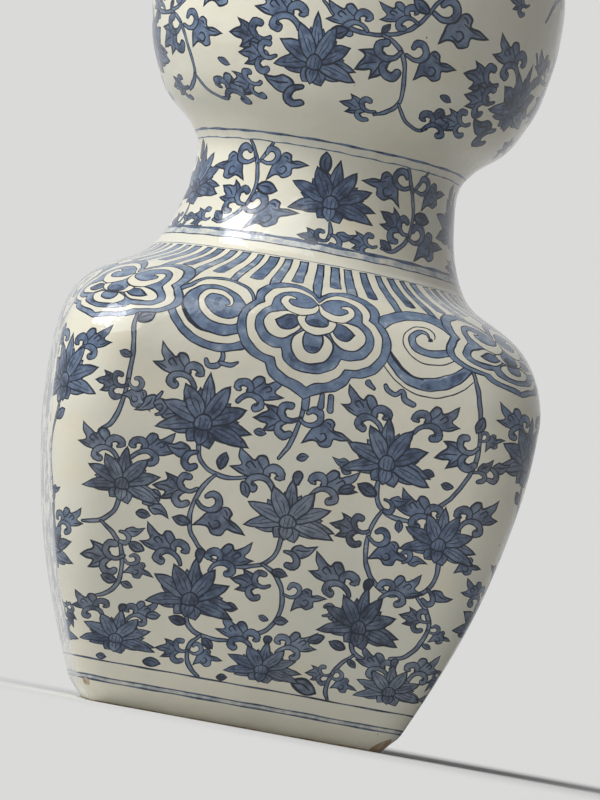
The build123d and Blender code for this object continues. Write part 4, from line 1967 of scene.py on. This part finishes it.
class Weaver:
    """Adds nodes to a new material, or to a new world."""

    def __init__(self, name: str, is_world: bool = False) -> None:
        """Begin a material.

        Args:
            name: Its name.
            is_world: Whether it is a world instead.
        """
        self.material = (bpy.data.worlds if is_world else bpy.data.materials).new(name)
        self.material.use_nodes = True
        self.tree = self.material.node_tree
        self.shader = self.tree.nodes["Background" if is_world else "Principled BSDF"]
        self.output = self.tree.nodes["World Output" if is_world else "Material Output"]

    def shader_wire(self) -> Wire:
        """Return the wire from the main shader."""
        return Wire(self, self.shader.outputs[0])

    def finish(self, surface: Wire) -> None:
        """Link a shader to the output."""
        self.plug(self.output.inputs["Surface"], surface)

    def plug(self, socket: bpy.types.NodeSocket, value: object) -> None:
        """Link a wire to an input, or set the input's value.

        Args:
            socket: The input.
            value: A wire, a number or a colour.
        """
        if isinstance(value, Wire):
            self.tree.links.new(value.socket, socket)
        elif isinstance(value, tuple) and len(value) == 3 and socket.type == "RGBA":
            socket.default_value = (*value, 1.0)
        else:
            socket.default_value = value

    def node(
        self, kind: str, settings: dict[str, object], inputs: dict[str | int, object], output: str | int = 0
    ) -> Wire:
        """Add a node.

        Args:
            kind: Its type.
            settings: Its own settings, which are set first.
            inputs: Values and wires by the input's name or number.
            output: The output to return.

        Returns:
            The wire from that output.
        """
        node = self.tree.nodes.new(kind)
        for setting, value in settings.items():
            setattr(node, setting, value)
        for name, value in inputs.items():
            self.plug(node.inputs[name], value)
        return Wire(self, node.outputs[output])

    def math(self, operation: str, *terms: Wire | float) -> Wire:
        """Add a Math node."""
        return self.node("ShaderNodeMath", {"operation": operation}, dict(enumerate(terms)))

    def mix(self, factor: Wire | float, first: Wire | Point3, second: Wire | Point3) -> Wire:
        """Mix two colours."""
        return self.node("ShaderNodeMix", {"data_type": "RGBA"}, {0: factor, 6: first, 7: second}, 2)

    def place(self) -> Wire:
        """Return the point's place on the object."""
        return self.node("ShaderNodeTexCoord", {}, {}, "Object")

    def noise(self, size: float, detail: float) -> Wire:
        """Return a noise whose lumps have a size in millimetres."""
        values = {"Vector": self.place(), "Scale": 1.0 / (size * MM), "Detail": detail, "Roughness": FINER}
        return self.node("ShaderNodeTexNoise", {}, values)

    def swing(self, size: float, detail: float, reach: float) -> Wire:
        """Return a noise that swings about 0 with a reach."""
        return (self.noise(size, detail) - 0.5) * reach

    def seen_directly(self) -> Wire:
        """Return 1 for the rays by which the camera sees, also in reflections."""
        camera, glossy, through = (self.node("ShaderNodeLightPath", {}, {}, ray) for ray in SEEING_RAYS)
        return self.math("MAXIMUM", self.math("MAXIMUM", camera, glossy), through)

    def shade(self, **inputs: object) -> None:
        """Link or set the shader's inputs, with words joined by underscores."""
        for name, value in inputs.items():
            self.plug(self.shader.inputs[name.replace("_", " ")], value)


@dataclass(frozen=True)
class Lumps:
    """Soft lumps of a noise: their size in millimetres, its detail, and where they begin and are full."""

    size: float
    detail: float
    start: float
    full: float

    def wire(self, weaver: Weaver) -> Wire:
        """Return 1 within the lumps and 0 between them."""
        return weaver.noise(self.size, self.detail).ramp(self.start, self.full)


@dataclass(frozen=True)
class Glaze:
    """Clear, slightly greenish glaze on white porcelain, with iron specks, pits and an uneven skin.

    Specks have the size of the cells that they lie in, their own reach within a cell, the share of cells
    without one, and their strength. Waves of the skin have their size in millimetres, the detail of their
    noise, and their height as a share of the depth.
    """

    ground: Point3 = (0.82, 0.785, 0.65)
    ground_grey: Point3 = (0.74, 0.73, 0.62)
    ground_warm: Point3 = (0.8, 0.72, 0.55)
    iron: Point3 = (0.05, 0.035, 0.025)
    clay: Point3 = (0.43, 0.27, 0.16)
    clay_pale: Point3 = (0.62, 0.5, 0.38)
    grey_clouds: Lumps = Lumps(70, 2, 0.4, 0.68)
    warm_clouds: Lumps = Lumps(34, 3, 0.5, 0.74)
    warm_strength: float = 0.7
    mottling: Lumps = Lumps(6, 3, 0.5, 0.72)
    mottling_strength: float = 0.35
    speck_kinds: Marks = ((9.0, 0.055, 0.86, 1.0), (3.6, 0.075, 0.9, 0.55))
    waves: Marks = ((26, 1, 0.8), (7, 2, 0.22), (2.2, 2, 0.04))
    clay_grain: Marks = ((0.7, 2, 0.1),)
    skin_depth: float = 0.0011
    smears: Point = (18.0, 2)
    smear_strength: float = 0.08
    polish: float = 0.08
    index: float = 1.5

    def skin(self, weaver: Weaver) -> Wire:
        """Colour the unpainted glaze.

        Args:
            weaver: The material.

        Returns:
            The wire of the colour.
        """
        colour = weaver.mix(self.grey_clouds.wire(weaver), self.ground, self.ground_grey)
        colour = weaver.mix(self.warm_clouds.wire(weaver) * self.warm_strength, colour, self.ground_warm)
        colour = weaver.mix(self.mottling.wire(weaver) * self.mottling_strength, colour, self.ground_grey)
        return weaver.mix(self.specks(weaver), colour, self.iron)

    def specks(self, weaver: Weaver) -> Wire:
        """Scatter the iron specks.

        Args:
            weaver: The material.

        Returns:
            A wire that is high where they are.
        """
        found: Wire | float = 0.0
        for size, reach, clear_share, strength in self.speck_kinds:
            values = {"Vector": weaver.place(), "Scale": 1.0 / (size * MM)}
            near = weaver.node("ShaderNodeTexVoronoi", {}, values, "Distance")
            pick = weaver.node("ShaderNodeTexVoronoi", {}, values, "Color")
            chance = weaver.node("ShaderNodeSeparateColor", {}, {"Color": pick}, 0)
            found = (1.0 - near.ramp(reach * 0.5, reach)) * (chance > clear_share) * strength + found
        return found

    def roughness(self, weaver: Weaver) -> Wire:
        """Return how rough the glaze is, with smears."""
        return self.polish + weaver.noise(*self.smears) * self.smear_strength

    def bump(self, weaver: Weaver, bare: Wire | None = None) -> Wire:
        """Make the uneven skin.

        Args:
            weaver: The material.
            bare: Where the clay is bare and grainy, if anywhere.

        Returns:
            The wire of the normal.
        """
        height = sum(weaver.noise(size, detail) * share for size, detail, share in self.waves)
        for size, detail, share in self.clay_grain if bare else ():
            height = height + weaver.noise(size, detail) * share * bare
        values = {"Strength": 1.0, "Distance": self.skin_depth, "Height": height}
        return weaver.node("ShaderNodeBump", {}, values, "Normal")


@dataclass(frozen=True)
class PaintedGlaze(Glaze):
    """The glaze over cobalt painting, which pools, heaps and fades.

    Pooling, grain and fading swing with a noise, which has its size in millimetres, its detail and its
    reach. The three blues come in one after another between two loads of cobalt each.
    """

    light: Point3 = (0.205, 0.282, 0.405)
    middle: Point3 = (0.076, 0.116, 0.205)
    dark: Point3 = (0.009, 0.016, 0.036)
    faded_light: Point3 = (0.265, 0.3, 0.345)
    faded_middle: Point3 = (0.125, 0.141, 0.172)
    faded_dark: Point3 = (0.028, 0.036, 0.053)
    light_loads: Point = (0.02, 0.4)
    middle_loads: Point = (0.28, 0.8)
    dark_loads: Point = (0.64, 1.0)
    dark_fade: float = 0.8
    pooling: Point3 = (5.0, 3, 3.1)
    grain: Point3 = (1.3, 2, 0.6)
    full_load: float = 1.15
    fading: Point3 = (60, 2, 1.2)
    fade_range: Point = (0.05, 0.75)
    heaps: Lumps = Lumps(2.4, 2, 0.6, 0.72)
    heap_clouds: Lumps = Lumps(14, 1, 0.46, 0.6)
    heap_strength: float = 0.28
    clay_clouds: Lumps = Lumps(3.0, 3, 0.35, 0.65)
    clay_roughness: float = 0.6

    def make(self) -> bpy.types.Material:
        """Make the material.

        Returns:
            The material, which reads the mesh's paint.
        """
        weaver = Weaver(Finish.PAINTED.words)
        paint = weaver.node("ShaderNodeAttribute", {"attribute_name": "Paint"}, {}, "Color")
        values = {"Color": paint}
        cobalt, faded, bare = (weaver.node("ShaderNodeSeparateColor", {}, values, i) for i in range(3))
        uneven = weaver.swing(*self.pooling) + weaver.swing(*self.grain)
        heap = self.heaps.wire(weaver) * self.heap_clouds.wire(weaver) * self.heap_strength
        load = cobalt + cobalt * uneven * (self.full_load - cobalt) + heap * cobalt
        faded = (faded + weaver.swing(*self.fading)).ramp(*self.fade_range)
        colour = self.skin(weaver)
        for fade, blue, faded_blue, loads in (
            (faded, self.light, self.faded_light, self.light_loads),
            (faded, self.middle, self.faded_middle, self.middle_loads),
            (faded * self.dark_fade, self.dark, self.faded_dark, self.dark_loads),
        ):
            colour = weaver.mix(load.ramp(*loads), colour, weaver.mix(fade, blue, faded_blue))
        clay = weaver.mix(self.clay_clouds.wire(weaver), self.clay, self.clay_pale)
        colour = weaver.mix(bare, colour, clay)
        rough = self.roughness(weaver) + bare * self.clay_roughness
        weaver.shade(Base_Color=colour, Roughness=rough, Normal=self.bump(weaver, bare), IOR=self.index)
        return weaver.material


@dataclass(frozen=True)
class PlainGlaze(Glaze):
    """The glaze of the base slab, without painting."""

    polish: float = 0.12
    smear_strength: float = 0.1

    def make(self) -> bpy.types.Material:
        """Make the material.

        Returns:
            The material.
        """
        weaver = Weaver(Finish.PLAIN.words)
        colour, rough, normal = self.skin(weaver), self.roughness(weaver), self.bump(weaver)
        weaver.shade(Base_Color=colour, Roughness=rough, Normal=normal, IOR=self.index)
        return weaver.material


@dataclass(frozen=True)
class PaleFloor:
    """The matt floor, which turns into a pale backdrop farther off.

    It is the backdrop to the camera and to reflections only, and from below it is clear.
    """

    colour: Point3 = (0.8, 0.8, 0.79)
    dull: Point3 = (0.77, 0.77, 0.765)
    dull_clouds: Lumps = Lumps(300, 2, 0.3, 0.7)
    roughness: float = 0.85
    white: Point3 = (0.7, 0.7, 0.695)
    near: float = 0.16
    far: float = 0.5
    size: float = 30.0

    def make(self) -> bpy.types.Material:
        """Make the material.

        Returns:
            The material.
        """
        weaver = Weaver("pale floor")
        colour = weaver.mix(self.dull_clouds.wire(weaver), self.colour, self.dull)
        weaver.shade(Base_Color=colour, Roughness=self.roughness)
        distance = weaver.node("ShaderNodeVectorMath", {"operation": "LENGTH"}, {0: weaver.place()}, "Value")
        share = distance.ramp(self.near, self.far) * weaver.seen_directly()
        white = weaver.node("ShaderNodeEmission", {}, {"Color": self.white, "Strength": 1.0})
        above = weaver.node("ShaderNodeMixShader", {}, {0: share, 1: weaver.shader_wire(), 2: white})
        underneath = weaver.node("ShaderNodeNewGeometry", {}, {}, "Backfacing")
        clear = weaver.node("ShaderNodeBsdfTransparent", {}, {})
        weaver.finish(weaver.node("ShaderNodeMixShader", {}, {0: underneath, 1: above, 2: clear}))
        return weaver.material


# Studio


@dataclass(frozen=True)
class Lamp:
    """A soft rectangular lamp: its place, what it points at and its size in metres, and its watts."""

    name: str
    place: Point3
    aim: Point3
    size: Point
    power: float

    def add(self) -> None:
        """Add it to the scene."""
        data = bpy.data.lights.new(self.name, "AREA")
        data.shape = "RECTANGLE"
        data.size, data.size_y = self.size
        data.energy = self.power
        lamp = bpy.data.objects.new(self.name, data)
        lamp.location = self.place
        lamp.rotation_euler = (Vector(self.aim) - Vector(self.place)).to_track_quat("-Z", "Y").to_euler()
        bpy.context.collection.objects.link(lamp)


@dataclass(frozen=True)
class Studio:
    """Camera, lamps, floor and backdrop, in metres and degrees."""

    distance: float = 2.506
    elevation: float = -3.0
    azimuth: float = 3.88
    roll: float = 10.36
    target: Point3 = (0.0063, 0.0, 0.1521)
    millimetres_per_pixel: float = 0.459
    image_height: int = 800
    sensor: float = 36.0
    farthest: float = 50.0
    room_light: float = 0.08
    room_colour: Point3 = (0.9, 0.92, 0.95)
    floor: PaleFloor = PaleFloor()
    lamps: tuple[Lamp, ...] = (
        Lamp("window", (-0.92, -0.21, 1.03), (0.0, 0.0, 0.2), (0.58, 0.5), 9.6),
        Lamp("front fill", (-0.78, -0.92, 1.5), (0.0, 0.0, 0.32), (1.4, 1.2), 15.5),
    )

    def add_camera(self) -> None:
        """Add the camera at the photographed viewing angle and make it the scene's."""
        rise, turn, roll = (math.radians(v) for v in (self.elevation, self.azimuth, self.roll))
        ahead = Vector((math.sin(turn) * math.cos(rise), math.cos(turn) * math.cos(rise), -math.sin(rise)))
        right = Vector((math.cos(turn), -math.sin(turn), 0.0))
        above = right.cross(ahead)
        image_right = right * math.cos(roll) + above * math.sin(roll)
        image_up = above * math.cos(roll) - right * math.sin(roll)
        data = bpy.data.cameras.new("camera")
        data.sensor_fit = "VERTICAL"
        data.sensor_height = self.sensor
        data.lens = self.distance / (self.millimetres_per_pixel * MM) * self.sensor / self.image_height
        data.clip_end = self.farthest
        camera = bpy.data.objects.new("camera", data)
        basis = Matrix((image_right, image_up, -ahead)).transposed()
        camera.matrix_world = Matrix.Translation(Vector(self.target) - ahead * self.distance) @ basis.to_4x4()
        bpy.context.collection.objects.link(camera)
        bpy.context.scene.camera = camera

    def add_floor(self) -> None:
        """Add the floor, which is also the backdrop."""
        bpy.ops.object.select_all(action="DESELECT")
        bpy.ops.mesh.primitive_plane_add(size=self.floor.size, location=(0.0, 0.0, 0.0))
        plane = bpy.context.object
        plane.name = "floor"
        plane.data.materials.append(self.floor.make())

    def add_room(self) -> None:
        """Add the light of the room, whose walls look like the backdrop."""
        weaver = Weaver("room", True)
        weaver.shade(Color=self.room_colour, Strength=self.room_light)
        white = weaver.node("ShaderNodeBackground", {}, {"Color": self.floor.white, "Strength": 1.0})
        shaders = {0: weaver.seen_directly(), 1: weaver.shader_wire(), 2: white}
        weaver.finish(weaver.node("ShaderNodeMixShader", {}, shaders))
        bpy.context.scene.world = weaver.material

    def build(self) -> None:
        """Set up the whole studio."""
        self.add_camera()
        self.add_floor()
        self.add_room()
        for lamp in self.lamps:
            lamp.add()
        bpy.context.scene.view_settings.view_transform = "Standard"


# The vase


class Vase:
    """Builds all sections and dresses them."""

    # Spacing of the points between painted outlines, in millimetres
    grid = 5.0

    def __init__(self, sizes: VaseSizes) -> None:
        """Lay out the skins, each with a flat painting.

        Args:
            sizes: The vase's sizes.
        """
        self.sizes = sizes
        self.form = VaseForm(sizes)
        self.body = Painting(self.form.body_skin(), pace=150.0)
        self.waist = Painting(self.form.round_skin("waist"), pace=100.0)
        self.bulb = Painting(self.form.round_skin("bulb_lower", "bulb_upper"), pace=140.0)
        self.neck = Painting(self.neck_skin(), pace=60.0)

    def lip_arc(self, radius: float, degrees: Iterable[float]) -> list[Point]:
        """Round the lip.

        Args:
            radius: The distance of the roll's middle from the axis.
            degrees: Where on the roll the points lie, from outside upwards.

        Returns:
            Points across and up.
        """
        roll, angles = self.sizes.lip_roll, [math.radians(v) for v in degrees]
        height = self.sizes.mouth_height - roll
        return [(radius + roll * math.cos(a), height + roll * math.sin(a)) for a in angles]

    def neck_skin(self) -> Surface:
        """Lay out the neck's outside, rolled over at the lip.

        Returns:
            The skin, from the neck's foot up.
        """
        s = self.sizes
        points = [(r, z) for r, z in self.form.curve("neck") if z < s.mouth_height - s.lip_roll]
        points += self.lip_arc(points[-1][0] - s.lip_roll, range(10, 91, 10))
        return Surface(tuple(self.form.round_level(r, z) for r, z in points))

    def neck_lining(self) -> list[Level]:
        """Lay out the neck's inside.

        Returns:
            Its levels, from the lip down.
        """
        s = self.sizes
        curve = self.form.curve("neck", True)[::-NECK_STRIDE]
        points = [(r, z) for r, z in curve if z < s.mouth_height - s.lip_roll]
        rolled = self.lip_arc(points[0][0] + s.lip_roll, range(90, 180, 15))
        return [self.form.round_level(r, z) for r, z in rolled + points]

    def wall_shells(self) -> dict[str, Shell]:
        """Lay out the four walls, whose lining runs down to the floor and round the foot rim.

        Returns:
            The sections by the nodes that they stand for.
        """
        s, form, skin = self.sizes, self.form, self.body.surface
        seam = skin.up_at(s.wall_top)
        pocket = (s.pocket_half_width, s.slab_corner, math.radians(POCKET_BOW))
        inside = [form.level_of(skin, seam)] + form.body_lining(s.floor_height, s.wall_top)
        inside += [Level(s.floor_height, *pocket), Level(0.0, *pocket), form.level_of(skin, 0.0)]
        lining = Surface(tuple(inside))
        found = {}
        for number, side in enumerate(SIDES):
            middle = side_centre(number)
            window = Window(middle - 0.5, middle + 0.5, 0.0, seam)
            found[f"wall_{side}"] = Shell(f"painted_wall_{side}", self.body, window, lining)
        return found

    def shells(self) -> dict[str, Shell]:
        """Lay out all painted sections, the walls first and then those that run all the way round.

        Returns:
            The sections by the nodes that they stand for.
        """
        s, form, half = self.sizes, self.form, WHOLE_TURN / 2
        shoulder = (s.wall_top, s.collar_height)
        found = self.wall_shells()
        for name, painting, low, high, lining in (
            ("shoulder", self.body, *shoulder, form.body_lining(*shoulder)),
            ("waist", self.waist, s.collar_height, s.ridge_height, form.round_lining("waist")),
            ("bulb_lower", self.bulb, s.ridge_height, s.bulb_height, form.round_lining("bulb_lower")),
            ("bulb_upper", self.bulb, s.bulb_height, s.neck_foot, form.round_lining("bulb_upper")),
            ("neck", self.neck, s.neck_foot, s.mouth_height, self.neck_lining()),
        ):
            skin = painting.surface
            start, end = skin.up_at(low), skin.up_at(high)
            inside = Surface((form.level_of(skin, end), *lining, form.level_of(skin, start)))
            found[name] = Shell(f"painted_{name}", painting, Window(-half, half, start, end), inside)
        return found

    def build(self) -> None:
        """Build and dress every piece."""
        Decorator(self.body, self.waist, self.bulb, self.neck).paint()
        glaze = PaintedGlaze().make()
        for node, shell in self.shells().items():
            piece = shell.build(self.grid)
            piece.data.materials.append(glaze)
            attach(piece, "root")
            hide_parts(node)
            LOG.info("%s: %d triangles", piece.name, len(piece.data.polygons))
        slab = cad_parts["base_slab"]
        for material_slot in slab.material_slots:
            material_slot.material = PlainGlaze().make()
        LOG.info("base_slab keeps its CAD mesh")


def main() -> None:
    """Build the scene."""
    logging.basicConfig(level=logging.INFO, format="%(name)s: %(message)s")
    Vase(VaseSizes()).build()
    Studio().build()


if __name__ == "__main__":
    main()
